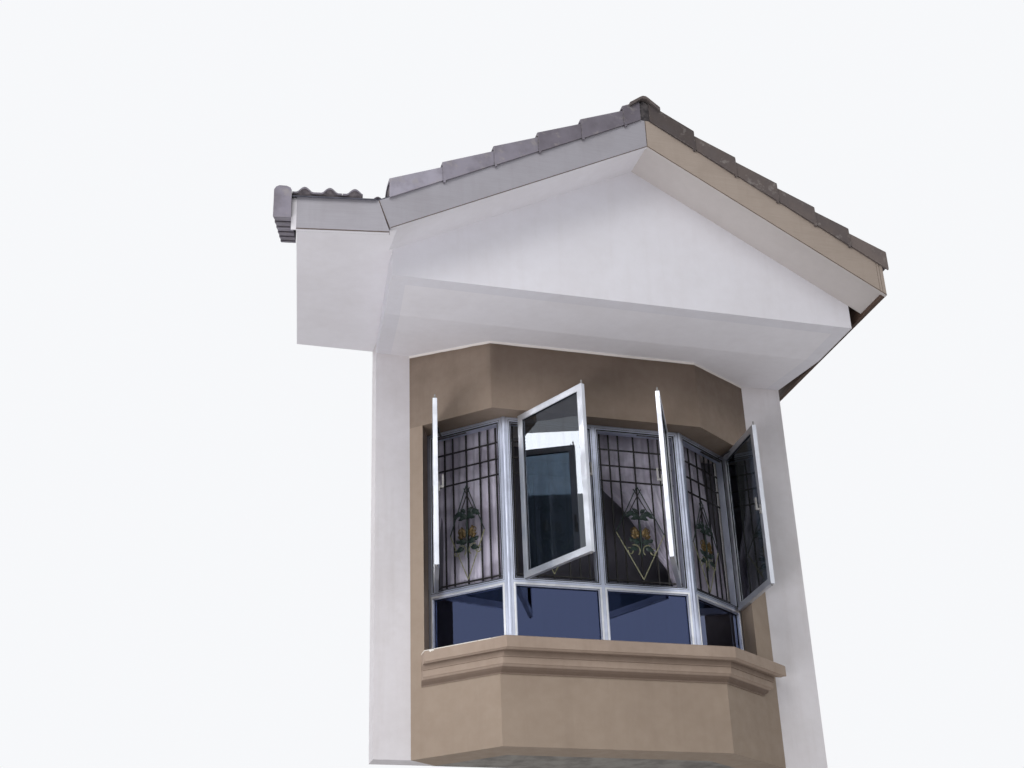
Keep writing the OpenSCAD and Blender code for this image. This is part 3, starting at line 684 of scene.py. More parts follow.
def layTiles(shape, place, tails, first, last, planes):
    # rows of tiles: tails are distances up the slope, columns run along the eave from first to last
    verts, faces = tileShape()
    tilt = math.atan((rollTile["tailLift"] - rollTile["headLift"]) / rollTile["length"])
    for tail in tails:
        for column in range(math.ceil((last - first) / tileWidth)):
            tint = random.uniform(*rollTile["tints"])
            spot = Vector((first + column * tileWidth, tail + random.uniform(0, rollTile["slip"]),
                           rollTile["tailLift"] + rollTile["thick"] - random.uniform(0, rollTile["sink"])))
            skew = random.uniform(-rollTile["skew"], rollTile["skew"])
            local = Matrix.Translation(spot) @ Matrix.Rotation(-tilt, 4, "X") @ Matrix.Rotation(skew, 4, "Z")
            laid = [place @ (local @ Vector(v)) for v in verts]
            addShape(shape, clipShape((laid, faces), planes), tint=tint)


eaveFill = {"step": 0.0125, "front": 0.014, "back": 0.050, "foot": 0.001, "returnRolls": 3, "rightRolls": 11}


def fillEave(shape, place, tail, first, rolls, planes):
    # closes the hollows under the lowest tiles' rolls, a little behind their tails
    length = rolls * rollTile["pitch"]
    steps = round(length / eaveFill["step"])
    front, back, foot = tail + eaveFill["front"], tail + eaveFill["back"], eaveFill["foot"]
    rings = []
    for k in range(steps + 1):
        t = length * k / steps
        top = rollTile["tailLift"] + rollSection(t)
        rings.append([place @ Vector((first + t, v, h))
                      for v, h in ((front, foot), (front, top), (back, top), (back, foot))])
    addShape(shape, clipShape(loftShape(*rings), planes))


deckSheet = {
    "bottom": 0.0005, "top": 0.008, "inset": 0.02, "leftEnd": -4.0, "rightEnd": -2.04, "returnInset": 0.05,
    "returnFar": 3,
}


def makeRoofs():
    left, right, back = (slopePlace(which) for which in ("left", "right", "return"))
    peakX, gap, verge = roof["peakX"], roof["peakGap"], -roof["vergeFront"]
    start = verge - roof["fieldStart"]
    leftPlanes = [wallPlane, (kink + Vector((roof["valleyRight"], 0, 0)), -valleyNormal),
                  sidePlane(peakX - gap, 1)]
    rightPlanes = [wallPlane, sidePlane(peakX + gap, -1), rightEnd]
    returnPlanes = [wallPlane, (kink - Vector((roof["valleyLeft"], 0, 0)), valleyNormal),
                    sidePlane(peakX - roof["returnGap"], 1)]
    eavePlanes = returnPlanes + [(kink - alongReturn * roof["firstCourse"], alongReturn)]
    # the tails' tops lean forward over the eave, so the tails start that much further up
    angle = slopeAngle["return"]
    lean = (rollTile["tailLift"] + rollTile["thick"] + rollTile["rollHeight"]) * math.sin(angle)
    firstTail = (lean - roof["tileOver"]) / math.cos(angle)
    tails = [firstTail + k * rollTile["gauge"] for k in range(roof["returnRows"])]
    leftTails, rightTails = ([-t for t in slopeTails[which]] for which in ("left", "right"))

    def layField(which, node, place, first, last, *courses):
        field = newShape()
        for rows, planes in courses:
            layTiles(field, place, rows, first, last, planes)
        makePiece("roof_tiles_" + which, field, "roofTile", (node,), smooth=38)

    layField("left", "roof_left", left, start - math.ceil(start / tileWidth) * tileWidth, start,
             (leftTails, leftPlanes))
    layField("right", "roof_right", right, -start, 0, (rightTails + [roof["topTail"]], rightPlanes))
    layField("return", "return_roof", back, *roof["returnField"], (tails[:1], eavePlanes),
             (tails[1:], returnPlanes))

    fillers = newShape()
    fillEave(fillers, back, tails[0], roof["returnField"][0], eaveFill["returnRolls"], eavePlanes)
    fillEave(fillers, right, rightTails[-1], -start, eaveFill["rightRolls"], rightPlanes)
    makePiece("eave_fillers", fillers, "eaveMortar")

    # deck sheets, with the open valley between them
    sheets = newShape()
    inset, far = deckSheet["inset"], deckSheet["returnFar"]
    outside = deckSheet["returnInset"] - roof["returnLength"] - roof["returnOver"]
    eave = inset - roof["tileOver"] / math.cos(angle)
    for place, a0, a1, v0, v1, planes in (
            (left, 0, verge - inset, deckSheet["leftEnd"], 0, [(kink, -valleyNormal), sidePlane(peakX, 1)]),
            (right, inset - verge, 0, deckSheet["rightEnd"], 0, [sidePlane(peakX, -1)]),
            (back, outside, far, eave, far, [(kink, valleyNormal), sidePlane(peakX, 1)])):
        rings = [[place @ Vector((a, v, h)) for a, v in ((a0, v0), (a1, v0), (a1, v1), (a0, v1))]
                 for h in (deckSheet["bottom"], deckSheet["top"])]
        addShape(sheets, clipShape(loftShape(*rings), [wallPlane] + planes))
    makePiece("valley_and_deck_sheets", sheets, "valleySheet")


makeRoofs()
print("field tiles laid")


vergeTile = {
    "wide": 0.166, "low": -0.010, "headLow": -0.002, "high": 0.150, "rise": 0.024, "step": 0.038,
    "topStep": 0.0, "thick": 0.016, "lap": 0.055, "proud": 0.008, "cornerRadius": 0.024, "apart": 0.040,
    "uneven": 0.003,
    "nib": (0.002, 0.020), "nibTall": 0.014, "skin": {"left": "roofTile", "right": "brownTile"},
    # the tiles grow paler down the slope
    "pale": {"left": 0.8, "right": 0.32}, "tintSpread": 0.25,
    "bed": (0.020, 0.140), "bedBack": 0.008, "bedHigh": (0.095, 0.112), "bedLow": 0.001,
}


def vergeSection(low, high, front):
    # section of a verge tile: a face in front of the board, then a crown that comes down on the field tiles
    radius, thick, wide = vergeTile["cornerRadius"], vergeTile["thick"], vergeTile["wide"]
    bend = [math.pi / 2 * k / 5 for k in range(6)]
    outer = [(front + radius - radius * math.cos(a), high - radius + radius * math.sin(a)) for a in bend]
    crown = [(front + wide * 0.55, high - 0.004), (front + wide * 0.80, high - 0.024),
             (front + wide, high - 0.060)]
    inner = [(front + wide - 0.006, high - 0.062 - thick), (front + wide * 0.74, high - 0.024 - thick),
             (front + wide * 0.50, high - 0.004 - thick), (front + radius + thick * 0.4, high - thick),
             (front + thick, high - radius - thick * 0.4), (front + thick, low)]
    return [(front, low)] + outer + crown + inner


def vergePoint(which, y, distance, height):
    # place over a slope's deck, a distance down from the peak; heights are upright
    side = -1 if which == "left" else 1
    angle = slopeAngle[which]
    return Vector((roof["peakX"] + side * distance * math.cos(angle), y,
                   roof["peakZ"] - distance * math.sin(angle) + height))


def vergeLoft(which, *rings):
    # each ring is its distance down the slope and its section
    return loftShape(*([vergePoint(which, y, down, z) for y, z in section] for down, section in rings))


def makeVerge(which):
    front, low, tails = roof["vergeFront"], vergeTile["low"], slopeTails[which]
    shape = newShape()
    for head, tail in zip((0.0,) + tails[:-1], tails):
        head = max(head - vergeTile["lap"], vergeTile["apart"])
        share = tail / tails[-1]
        tint = min(1.0, vergeTile["pale"][which] * share ** 2 + vergeTile["tintSpread"] * random.random())
        lift = random.uniform(-vergeTile["uneven"], 0)
        high = vergeTile["high"] + vergeTile["rise"] * (1 - share)
        step = vergeTile["topStep"] if tail == tails[0] else vergeTile["step"]
        made = vergeLoft(which, (tail, vergeSection(low + lift, high + lift, front)),
                         (head, vergeSection(vergeTile["headLow"], high - step, front + vergeTile["proud"])))
        addShape(shape, clipShape(made, [rightEnd]), tint=tint)
        if tail < tails[-1]:
            # nib under the tail's lower corner
            y0, y1 = front + 0.001, front + vergeTile["thick"]
            z0, z1 = low - vergeTile["nibTall"], low + 0.01
            corners = [(y0, z0), (y1, z0), (y1, z1), (y0, z1)]
            made = vergeLoft(which, *((tail - reach, corners) for reach in vergeTile["nib"]))
            addShape(shape, made, tint=tint)
    makePiece("verge_tiles_" + which, shape, vergeTile["skin"][which], smooth=35)

    # mortar that beds the verge, set back behind the tiles' faces
    bed = newShape()
    last, foot = tails[-1] - vergeTile["bedBack"], vergeTile["bedLow"]
    upper, lower = vergeTile["bedHigh"]
    ends = [vergePoint(which, 0, d, h) for d, h in ((0, foot), (0, upper), (last, lower), (last, foot))]
    addShape(bed, prismShape([(p.x, p.z) for p in ends], *(front + reach for reach in vergeTile["bed"])))
    makePiece("verge_mortar_" + which, bed, "eaveMortar", rounding=0.004)


makeVerge("left")
makeVerge("right")


ridgeCap = {
    "half": 0.118, "edgeHigh": 0.170, "peakHigh": 0.187, "thick": 0.010, "drop": 0.030, "length": 0.40,
    "lap": 0.045, "taper": 0.012, "front": -1.815, "bedHalf": 0.118, "bedEdge": 0.136, "bedPeak": 0.138,
    "bedLow": 0.001, "wedgeHalf": 0.07, "wedge": (0.018, 0.100),
}


def ridgeSection(shrink):
    # angular cap over both slopes: (x, z) points of its outline
    x, half = roof["peakX"], ridgeCap["half"] - shrink * 0.7
    top = roof["peakZ"] + ridgeCap["peakHigh"] - shrink
    drop, under = ridgeCap["drop"], top - 0.012 - ridgeCap["thick"] * 1.5

    def edge(side, inset, lower):
        slope = roof["slopeLeft"] if side < 0 else roof["slopeRight"]
        return (x + side * (half - inset),
                roof["peakZ"] - (half - inset) * slope + ridgeCap["edgeHigh"] - shrink - lower)

    crown = [(x - 0.030, top - 0.012), (x - 0.012, top - 0.002), (x + 0.012, top - 0.002),
             (x + 0.030, top - 0.013)]
    inner = [edge(1, 0.014, drop), (x + 0.020, under), (x - 0.020, under), edge(-1, 0.014, drop)]
    return [edge(-1, 0, drop), edge(-1, 0.001, 0)] + crown + [edge(1, 0.001, 0), edge(1, 0, drop)] + inner


def makeRidge():
    shape = newShape()
    whole = ridgeCap["length"] + ridgeCap["lap"]
    start = ridgeCap["front"]
    while start < -0.01:
        end = min(start + whole, 0)
        tint = random.uniform(*rollTile["tints"])
        far = ridgeSection(ridgeCap["taper"] * (end - start) / whole)
        rings = [[(x, y, z) for x, z in section] for y, section in ((start, ridgeSection(0.0)), (end, far))]
        addShape(shape, loftShape(*rings), tint=tint)
        start += ridgeCap["length"]
    makePiece("ridge_caps", shape, "brownTile", ("ridge_tiles",), rounding=0.004)

    # mortar under the caps, and in the wedge between the two upper verge tiles, toned dark as painted shade
    # of the hollow at the peak
    bed = newShape()
    x, z = roof["peakX"], roof["peakZ"]
    half, foot, edge = (ridgeCap[k] for k in ("bedHalf", "bedLow", "bedEdge"))
    leftZ, rightZ = z - half * roof["slopeLeft"], z - half * roof["slopeRight"]
    outline = [(x - half, leftZ + foot), (x - half, leftZ + edge), (x, z + ridgeCap["bedPeak"]),
               (x + half, rightZ + edge), (x + half, rightZ + foot), (x, z + foot)]
    addShape(bed, prismShape(outline, roof["vergeFront"] + vergeTile["wide"], 0))
    half = ridgeCap["wedgeHalf"]
    outline = [(x - half * 0.4, z - 0.018), (x - half, z + 0.10), (x, z + 0.160), (x + half, z + 0.10),
               (x + half * 0.4, z - 0.018)]
    addShape(bed, prismShape(outline, *(roof["vergeFront"] + reach for reach in ridgeCap["wedge"])))
    makePiece("ridge_mortar", bed, "shadedMortarBed", rounding=0.003)


makeRidge()


rakeTile = {
    "outer": -0.683, "wide": 0.115, "lap": 0.05, "rows": 6,
    # underside, top and inset of a tile's two ends
    "tail": (-0.164, 0.081, 0), "head": (-0.151, 0.061, 0.004),
}


def makeReturnRake():
    # verge tiles down the return's left edge, closed at their front ends
    def ring(y, low, high, inset):
        a0, a1 = rakeTile["outer"] + inset, rakeTile["outer"] + rakeTile["wide"] - inset
        outline = ((a0, low), (a0, high - 0.034), (a0 + 0.012, high - 0.012), (a0 + 0.034, high),
                   (a1 - 0.034, high - 0.002), (a1 - 0.010, high - 0.014), (a1, high - 0.034), (a1, low))
        spot = kink + backReturn * y + upward * (y * roof["slopeLeft"])
        return [spot + alongReturn * a + upward * h for a, h in outline]

    shape = newShape()
    level = math.cos(slopeAngle["return"])
    for k in range(rakeTile["rows"]):
        tint = random.uniform(*rollTile["tints"])
        front = k * rollTile["gauge"] * level - roof["tileOver"]
        back = front + (rollTile["gauge"] + rakeTile["lap"]) * level
        made = loftShape(ring(front, *rakeTile["tail"]), ring(back, *rakeTile["head"]))
        addShape(shape, clipShape(made, [wallPlane]), tint=tint)
    makePiece("rake_tiles", shape, "roofTile", smooth=35)


makeReturnRake()
print("verges, ridge and rake laid")


# dark lines along the boards: painted shadow along their lower edges, and their open joints

boardLine = {
    "deep": 0.246, "tall": 0.006, "proud": 0.0012, "back": 0.002, "joint": 0.005,
    # reaches of the mitre: along the barge board's foot, of its joint, along the return's foot
    "miter": (0.082, 0.075, 0.072),
    # upright joints of the right board: x, half width, proud of the board
    "joints": ((0.078, 0.0025, 0.0008), (1.792, 0.0012, 0.0006), (1.812, 0.0012, 0.0006)),
    "foot": (0.003, 0.030), "footEnd": 0.070, "thin": 0.0012, "strip": 0.034,
}


def underBoards(low, high):
    # outline along the lower edge of each barge board, between two heights over it
    outlines = []
    for end, slope in ((roof["eaveLeft"] + boardLine["miter"][0], roof["slopeLeft"]),
                       (roof["eaveRight"], roof["slopeRight"])):
        peak = roof["peakZ"] - boardLine["deep"]
        foot = peak - abs(end - roof["peakX"]) * slope
        outlines.append([(roof["peakX"], peak + low), (end, foot + low), (end, foot + high),
                         (roof["peakX"], peak + high)])
    return outlines


def makeBoardLines():
    shape = newShape()
    front, back = roof["boardFront"], roof["boardFront"] + boardLine["back"]
    deep, tall, joint, thin = (boardLine[k] for k in ("deep", "tall", "joint", "thin"))
    # painted shadow along the lower edge of each barge board
    for outline in underBoards(0.0005, tall):
        addShape(shape, prismShape(outline, front - boardLine["proud"], back))
    # open joints at the peak, near the right end and at the mitre
    for x, half, proud in boardLine["joints"]:
        z = roof["peakZ"] - (x - roof["peakX"]) * roof["slopeRight"]
        outline = [(x - half, z - deep), (x + half, z - deep), (x + half, z), (x - half, z)]
        addShape(shape, prismShape(outline, front - proud, back))
    reach = boardLine["miter"][1]
    start = kink + Vector((0.002, -0.0006, 0))
    low = kink + Vector((reach, -0.0006, reach * roof["slopeLeft"] - deep))
    addShape(shape, barShape(start, low, joint, 0.003, (1, 0, 0)))
    # painted shadow along the foot of the return's board
    ends = [kink + alongReturn * a + upward * (tall / 2 - deep) - backReturn * 0.001
            for a in (-roof["returnLength"], boardLine["miter"][2])]
    addShape(shape, barShape(*ends, tall, 0.003, upward))
    makePiece("board_lines", shape, "jointAndShadowPaint")

    # the boards' feet carry the soffit's paint; a pale strip closes the gap beside the return's board
    feet, rightFoot = newShape(), newShape()
    near, far = boardLine["foot"]
    for foot, outline in zip((feet, rightFoot), underBoards(-thin, 0)):
        addShape(foot, prismShape(outline, front + near, front + far))
    ends = [kink + alongReturn * a + backReturn * far / 2 - upward * (deep + thin / 2)
            for a in (-roof["returnLength"], boardLine["footEnd"])]
    addShape(feet, barShape(*ends, far - 0.006, thin, backReturn))
    wide = boardLine["strip"]
    strip = kink - alongReturn * (roof["returnLength"] + wide / 2) + backReturn * 0.012
    addShape(feet, barShape(strip - upward * deep, strip - upward * 0.006, wide, 0.010, alongReturn))
    makePiece("board_feet", feet, "soffitPaint")
    makePiece("board_foot_right", rightFoot, "shadedSoffit")


makeBoardLines()


# window

window = {
    "frontHalf": 0.812, "frontY": -0.625, "cant": {-1: 0.500, 1: 0.575}, "wallY": {-1: -0.150, 1: -0.230},
    "sillZ": 0.650, "headZ": 2.373, "transomLow": 1.096, "transomHigh": 1.138, "setBack": 0.130,
    "sideBack": 0.177, "frameWide": 0.032, "frameDeep": 0.060, "sashThick": 0.032, "sashWide": 0.040,
    "sashLow": 1.105, "sashHigh": 2.345, "sashOver": 0.050,
}
# each upper light: side, whether it is on the slanting face, its opening along the face, how far the open
# sash's hinge stands in from the opening's end and out from the frame, its angle, and the ornament's middle
# and half width
lights = (
    {"side": -1, "cant": True, "from": 0.0484, "to": 0.6137, "in": 0.072, "off": 0.040, "open": 59.4,
     "middle": 0.354, "diamond": 0.140},
    {"side": -1, "cant": False, "from": 0.025, "to": 0.6458, "in": 0.066, "off": 0.072, "open": 65.0,
     "middle": 0.335, "diamond": 0.186},
    {"side": 1, "cant": False, "from": 0.025, "to": 0.6426, "in": 0.116, "off": 0.085, "open": 63.6,
     "middle": 0.338, "diamond": 0.186},
    {"side": 1, "cant": True, "from": 0.0179, "to": 0.5877, "in": 0.038, "off": 0.018, "open": 53.0,
     "middle": 0.305, "diamond": 0.170},
)


def facePlace(light):
    # X along the outer face away from its start, Y inwards, Z up
    side, y = light["side"], window["frontY"]
    mirror = Matrix.Diagonal((side, 1, 1, 1))
    if not light["cant"]:
        return mirror @ Matrix.Translation((0, y, 0))
    swing = math.atan2(window["wallY"][side] - y, window["cant"][side])
    return mirror @ Matrix.Translation((window["frontHalf"], y, 0)) @ Matrix.Rotation(swing, 4, "Z")


def lightDepth(light):
    return window["sideBack"] if light["cant"] else window["setBack"]


def sashPlace(light):
    # X from the hung edge along the open sash, Y from its outer face inwards, Z up
    hinge = Matrix.Translation((light["to"] - light["in"], lightDepth(light) - light["off"], 0))
    swing = Matrix.Rotation(math.radians(-light["open"]), 4, "Z")
    return facePlace(light) @ hinge @ Matrix.Diagonal((-1, 1, 1, 1)) @ swing


# rings round a pane: width, and the reach of both faces from the pane's middle
paneTrim = {
    "sash": {"gasket": (0.005, 0.003, 0.0075), "bead": (0.008, 0.0075, 0.0155)},
    "fixed": {"gasket": (0.005, 0.003, 0.009), "bead": (0.009, 0.009, 0.022)},
    "over": 0.0005,
}
# the groove paints shade on the frame round the casement; the lighter bead is a painted highlight round the
# fixed pane
frameTrim = {
    "brush": 0.006, "brushIn": 0.002, "brushDeep": (0.004, 0.009), "shadowGroove": 0.0025, "shadowGrooveOff": 0.011,
    "shadowGrooveDeep": (-0.0006, 0.002), "highlight": 0.0125, "highlightDeep": (-0.003, 0.004),
}
# pins of the corner cleats: inset from the free edge, edge they stand on, reach and radius
sashPins = ((0.012, "sashHigh", 0.030, 0.0060), (0.030, "sashHigh", 0.014, 0.0042),
            (0.016, "sashLow", -0.010, 0.0060))


def ringShape(opening, grow, width, y0, y1):
    # four mitred lengths round an opening (x0, x1, z0, z1), whose outer edges lie outside it by grow
    x0, x1, z0, z1 = opening

    def loop(g):
        return [(x0 - g, z0 - g), (x1 + g, z0 - g), (x1 + g, z1 + g), (x0 - g, z1 + g)]

    verts = [(x, y, z) for y in (y0, y1) for g in (grow, grow - width) for x, z in loop(g)]
    faces = []
    for k in range(4):
        j = (k + 1) % 4
        faces += [(k, j, 4 + j, 4 + k), (8 + k, 12 + k, 12 + j, 8 + j), (k, 8 + k, 8 + j, j),
                  (4 + k, 4 + j, 12 + j, 12 + k)]
    return verts, faces


def trimPane(kind, opening, middle, place, gaskets, beads):
    for outward in (-1, 1):
        for shape, part in ((gaskets, "gasket"), (beads, "bead")):
            width, *reaches = paneTrim[kind][part]
            faces = (middle + outward * reach for reach in reaches)
            addShape(shape, ringShape(opening, paneTrim["over"], width, *faces), place)


def makeSashTrim():
    gaskets, beads, pins = newShape(), newShape(), newShape()
    wide = window["sashWide"]
    for light in lights:
        place, middle = sashPlace(light), -window["sashThick"] / 2
        length = light["to"] - light["from"] + window["sashOver"]
        opening = (wide, length - wide, window["sashLow"] + wide, window["sashHigh"] - wide)
        trimPane("sash", opening, middle, place, gaskets, beads)
        for inset, edge, reach, radius in sashPins:
            x, z = length - inset, window[edge]
            ends = [(x, middle, z - math.copysign(0.002, reach)), (x, middle, z + reach)]
            addShape(pins, rodShape(ends, radius), place)
    makePiece("sash_gaskets", gaskets, "blackGasket")
    makePiece("sash_beads", beads, "sashAluminium")
    makePiece("sash_pins", pins, "handleEnamel")


def makeFrameTrim():
    seals, beads, highlight = newShape(), newShape(), newShape()
    wide = window["frameWide"]
    for light in lights:
        place, depth = facePlace(light), lightDepth(light)
        pane = (light["from"], light["to"], window["sillZ"] + wide, window["transomLow"])
        casement = (light["from"], light["to"], window["transomHigh"], window["headZ"] - wide)
        trimPane("fixed", pane, depth + window["frameDeep"] / 2, place, seals, beads)
        # brush seal in the corner of the upper light's stop, a dark groove round the casement that paints
        # the shade on the sections, and the fixed light's bead, lighter than the frame as a painted
        # highlight, a little proud of the frame
        for shape, opening, grow, width, deep in (
                (seals, casement, -frameTrim["brushIn"], frameTrim["brush"], frameTrim["brushDeep"]),
                (seals, casement, frameTrim["shadowGrooveOff"], frameTrim["shadowGroove"], frameTrim["shadowGrooveDeep"]),
                (highlight, pane, frameTrim["highlight"], frameTrim["highlight"] + 0.001, frameTrim["highlightDeep"])):
            addShape(shape, ringShape(opening, grow, width, *(depth + y for y in deep)), place)
    makePiece("pane_seals", seals, "blackGasket")
    makePiece("pane_beads", beads, "windowAluminium")
    makePiece("highlight_beads", highlight, "highlightAluminium", rounding=0.001)


makeSashTrim()
makeFrameTrim()
print("sash trim made")


# security grilles behind the upper lights

grille = {
    "bar": 0.010, "flat": 0.016, "flatDeep": (0.0005, 0.006), "over": 0.012,
    "rails": (2.213, 2.084, 1.961, 1.165, 1.193), "drawnWide": 0.62,
    "uprights": (-0.259, -0.191, -0.118, 0.118, 0.191, 0.259, 0.0),
    "diamondTop": 1.930, "diamondLow": 1.208, "diamondMid": 1.560, "rod": 0.0040, "wire": 0.0040,
    # stem of the flower: height over the diamond's middle and radius
    "stem": ((-0.190, 0.003), (-0.060, 0.006), (0.0, 0.009), (0.070, 0.006), (0.130, 0.003)),
}
# leaves: across from the diamond's middle, height over it, lean from upright, length, width
# curls: across, height, size, start and sweep in degrees, share that the radius shrinks by
ornament = {
    "leaves": {
        "leaves": ((0.004, 0.108, 48, 0.076, 0.023), (0.034, 0.150, 86, 0.066, 0.021),
                   (0.010, 0.158, 50, 0.052, 0.015), (0.072, 0.146, 125, 0.044, 0.016),
                   (0.022, 0.118, 104, 0.048, 0.014), (0.008, -0.076, 72, 0.074, 0.021),
                   (0.028, -0.112, 106, 0.070, 0.019), (0.064, -0.070, 46, 0.040, 0.014)),
        "curls": (),
    },
    "gilt": {
        "leaves": ((0.020, -0.036, 14, 0.088, 0.019), (0.052, -0.036, -4, 0.084, 0.017),
                   (0.030, -0.044, 60, 0.056, 0.014)),
        "curls": ((0.050, 0.012, 0.036, 250, -330, 0.50),),
    },
    "scrolls": {
        "leaves": (),
        "curls": ((0.056, -0.128, 0.036, 70, 160, -0.30), (0.090, -0.142, 0.028, 60, 330, 0.50)),
    },
}


def curlShape(x, y, z, flip, size, start, sweep, shrink):
    points = []
    for t in (k / 14 for k in range(15)):
        a, r = math.radians(start + sweep * t), size * (1 - shrink * t)
        points.append((x + flip * r * math.cos(a), y - 0.002, z + r * math.sin(a)))
    return rodShape(points, grille["wire"], sides=6)


def leafShape(x, y, z, angle, length, wide):
    # pressed leaf with a raised middle rib and a toothed edge
    along, rings = Vector((math.cos(angle), 0, math.sin(angle))), []
    across = Vector((-along.z, 0, along.x))
    for t in (k / 8 for k in range(9)):
        w = wide * math.sin(math.pi * min(t ** 0.8, 0.97)) * (1 + 0.14 * math.sin(9 * math.pi * t)) + 0.0006
        spot = Vector((x, y - 0.006 * math.sin(math.pi * t), z)) + along * (length * t)
        rings.append([spot + across * (w * side) - Vector((0, out, 0)) for side, out in (
            (-1, 0.003), (-0.5, 0.007), (0, 0.011), (0.5, 0.007), (1, 0.003), (1, 0.0015), (-1, 0.0015))])
    return loftShape(*rings)


def makeGrille(name, light):
    parts = {kind: newShape() for kind in ("bars", "gilt", "leaves", "scrolls")}
    place, middle, half = facePlace(light), light["middle"], light["diamond"]
    # the grille hangs on the inner face of the frame
    inner = lightDepth(light) + window["frameDeep"]
    x0, x1 = light["from"] - grille["over"], light["to"] + grille["over"]
    low, high = window["transomLow"] + 0.004, window["headZ"] - 0.006
    bar, rod, mid = grille["bar"], grille["rod"], grille["diamondMid"]

    def add(kind, made):
        addShape(parts[kind], made, place)

    add("bars", ringShape((x0, x1, low, high), 0, grille["flat"], *(inner + y for y in grille["flatDeep"])))
    y = inner + grille["flatDeep"][1] + bar / 2
    for across in grille["uprights"]:
        x = middle + across * (x1 - x0) / grille["drawnWide"]
        add("bars", barShape((x, y, low + 0.004), (x, y, high - 0.004), bar, bar, (1, 0, 0)))
    for z in grille["rails"]:
        add("bars", barShape((x0 + 0.003, y - 0.002, z), (x1 - 0.003, y - 0.002, z), bar, bar, upward))
    # diamond: green rods above, pale ones below, crossed near its top by short rods
    front = y - bar / 2 - rod
    top, foot = grille["diamondTop"], grille["diamondLow"]
    for side in (-1, 1):
        corner = (middle + side * half, front, mid)
        add("leaves", rodShape([(middle, front, top), corner], rod))
        add("scrolls", rodShape([corner, (middle, front, foot)], rod))
        add("bars", rodShape([(middle + side * half * 0.16, front + 0.003, top - 0.02),
                              (middle - side * half * 0.44, front + 0.003, mid + 0.150)], grille["wire"]))
        for kind, pieces in ornament.items():
            for across, up, lean, *size in pieces["leaves"]:
                angle = math.radians(90 - side * lean)
                add(kind, leafShape(middle + side * across, front, mid + up, angle, *size))
            for across, up, *sweep in pieces["curls"]:
                add(kind, curlShape(middle + side * across, front, mid + up, side, *sweep))
    points = [(middle, front - 0.004, mid + up) for up, _ in grille["stem"]]
    add("leaves", rodShape(points, [radius for _, radius in grille["stem"]]))
    makePiece(name, parts["bars"], "grilleIron", smooth=30)
    for kind, skin in (("gilt", "grilleGilt"), ("leaves", "leafGreen"), ("scrolls", "scrollPaint")):
        makePiece(name + "_" + kind, parts[kind], skin, smooth=50)


for index, light in enumerate(lights):
    makeGrille("grille_" + str(index + 1), light)
print("grilles made")


# curtains, hung from thin rails inside

# each has its free edge and its other edge as heights and places along the face
curtains = (
    {"name": "curtain_left", "light": 0, "low": 1.02, "folds": 10, "seed": 3, "depth": 0.052,
     "edge": ((2.425, 0.02),), "far": ((2.425, 0.615), (1.02, 0.655))},
    {"name": "curtain_front", "light": 2, "low": 1.05, "folds": 8, "seed": 5, "depth": 0.075,
     "edge": ((1.99, 0.03), (1.90, 0.10), (1.77, 0.24), (1.45, 0.46), (1.33, 0.555), (1.19, 0.60),
              (1.05, 0.615)), "far": ((2.425, 0.67),)},
    {"name": "curtain_right", "light": 3, "low": 1.02, "folds": 9, "seed": 8, "depth": 0.052,
     "edge": ((2.425, 0.0),), "far": ((2.425, 0.43), (1.90, 0.47), (1.50, 0.58), (1.02, 0.61))},
)
curtainCut = {
    "top": 2.425, "fold": 0.016, "slack": 0.006, "rows": 44, "perFold": 10, "railUp": 0.012,
    "railOver": 0.02, "railRadius": 0.009, "bracketIn": 0.03,
}


def curtainEdge(knots, z):
    # an edge's place at a height: the cloth is drawn aside below
    if z >= knots[0][0]:
        return knots[0][1]
    for (z0, x0), (z1, x1) in zip(knots, knots[1:]):
        if z >= z1:
            return x0 + (x1 - x0) * (z0 - z) / (z0 - z1)
    return knots[-1][1]


def makeCurtain(plan):
    light = lights[plan["light"]]
    place = facePlace(light)
    depth = lightDepth(light) + window["frameDeep"] + plan["depth"]
    rows, columns = curtainCut["rows"], plan["folds"] * curtainCut["perFold"]
    tall, slack = curtainCut["top"] - plan["low"], curtainCut["slack"]
    draw = random.Random(plan["seed"])
    phases = [draw.uniform(0, 6.28) for _ in range(3)]
    verts = []
    for t in (r / rows for r in range(rows + 1)):
        z = curtainCut["top"] - tall * t
        start, end = curtainEdge(plan["edge"], z), curtainEdge(plan["far"], z)
        for u in (c / columns for c in range(columns + 1)):
            swing = u * plan["folds"] * 2 * math.pi + 0.5 * math.sin(3 * t + phases[0])
            fold = curtainCut["fold"] * (0.55 + 0.45 * t) * math.sin(swing)
            fold += slack * math.sin(swing * 0.5 + phases[1] + 2 * t)
            x = start + (end - start) * (u + slack * math.sin(swing * 2 + phases[2]) * t)
            verts.append((x, depth + fold, z))
    row = columns + 1
    faces = [(k, k + 1, k + row + 1, k + row)
             for r in range(0, rows * row, row) for k in range(r, r + columns)]
    shape = newShape()
    addShape(shape, (verts, faces), place)
    piece = makePiece(plan["name"], shape, "curtainCloth", smooth=180)

    rail = newShape()
    first, last, z = plan["edge"][0][1], plan["far"][0][1], curtainCut["top"] + curtainCut["railUp"]
    over, inset, radius = (curtainCut[k] for k in ("railOver", "bracketIn", "railRadius"))
    addShape(rail, rodShape([(first - over, depth, z), (last + over, depth, z)], radius, 12), place)
    for x in (first + inset, last - inset):
        addShape(rail, barShape((x, depth, z), (x, lightDepth(light), z), 0.012, 0.006, (1, 0, 0)), place)
    railPiece = makePiece(plan["name"] + "_rail", rail, "staySteel")


for plan in curtains:
    makeCurtain(plan)


# stage: floor, dark room, light

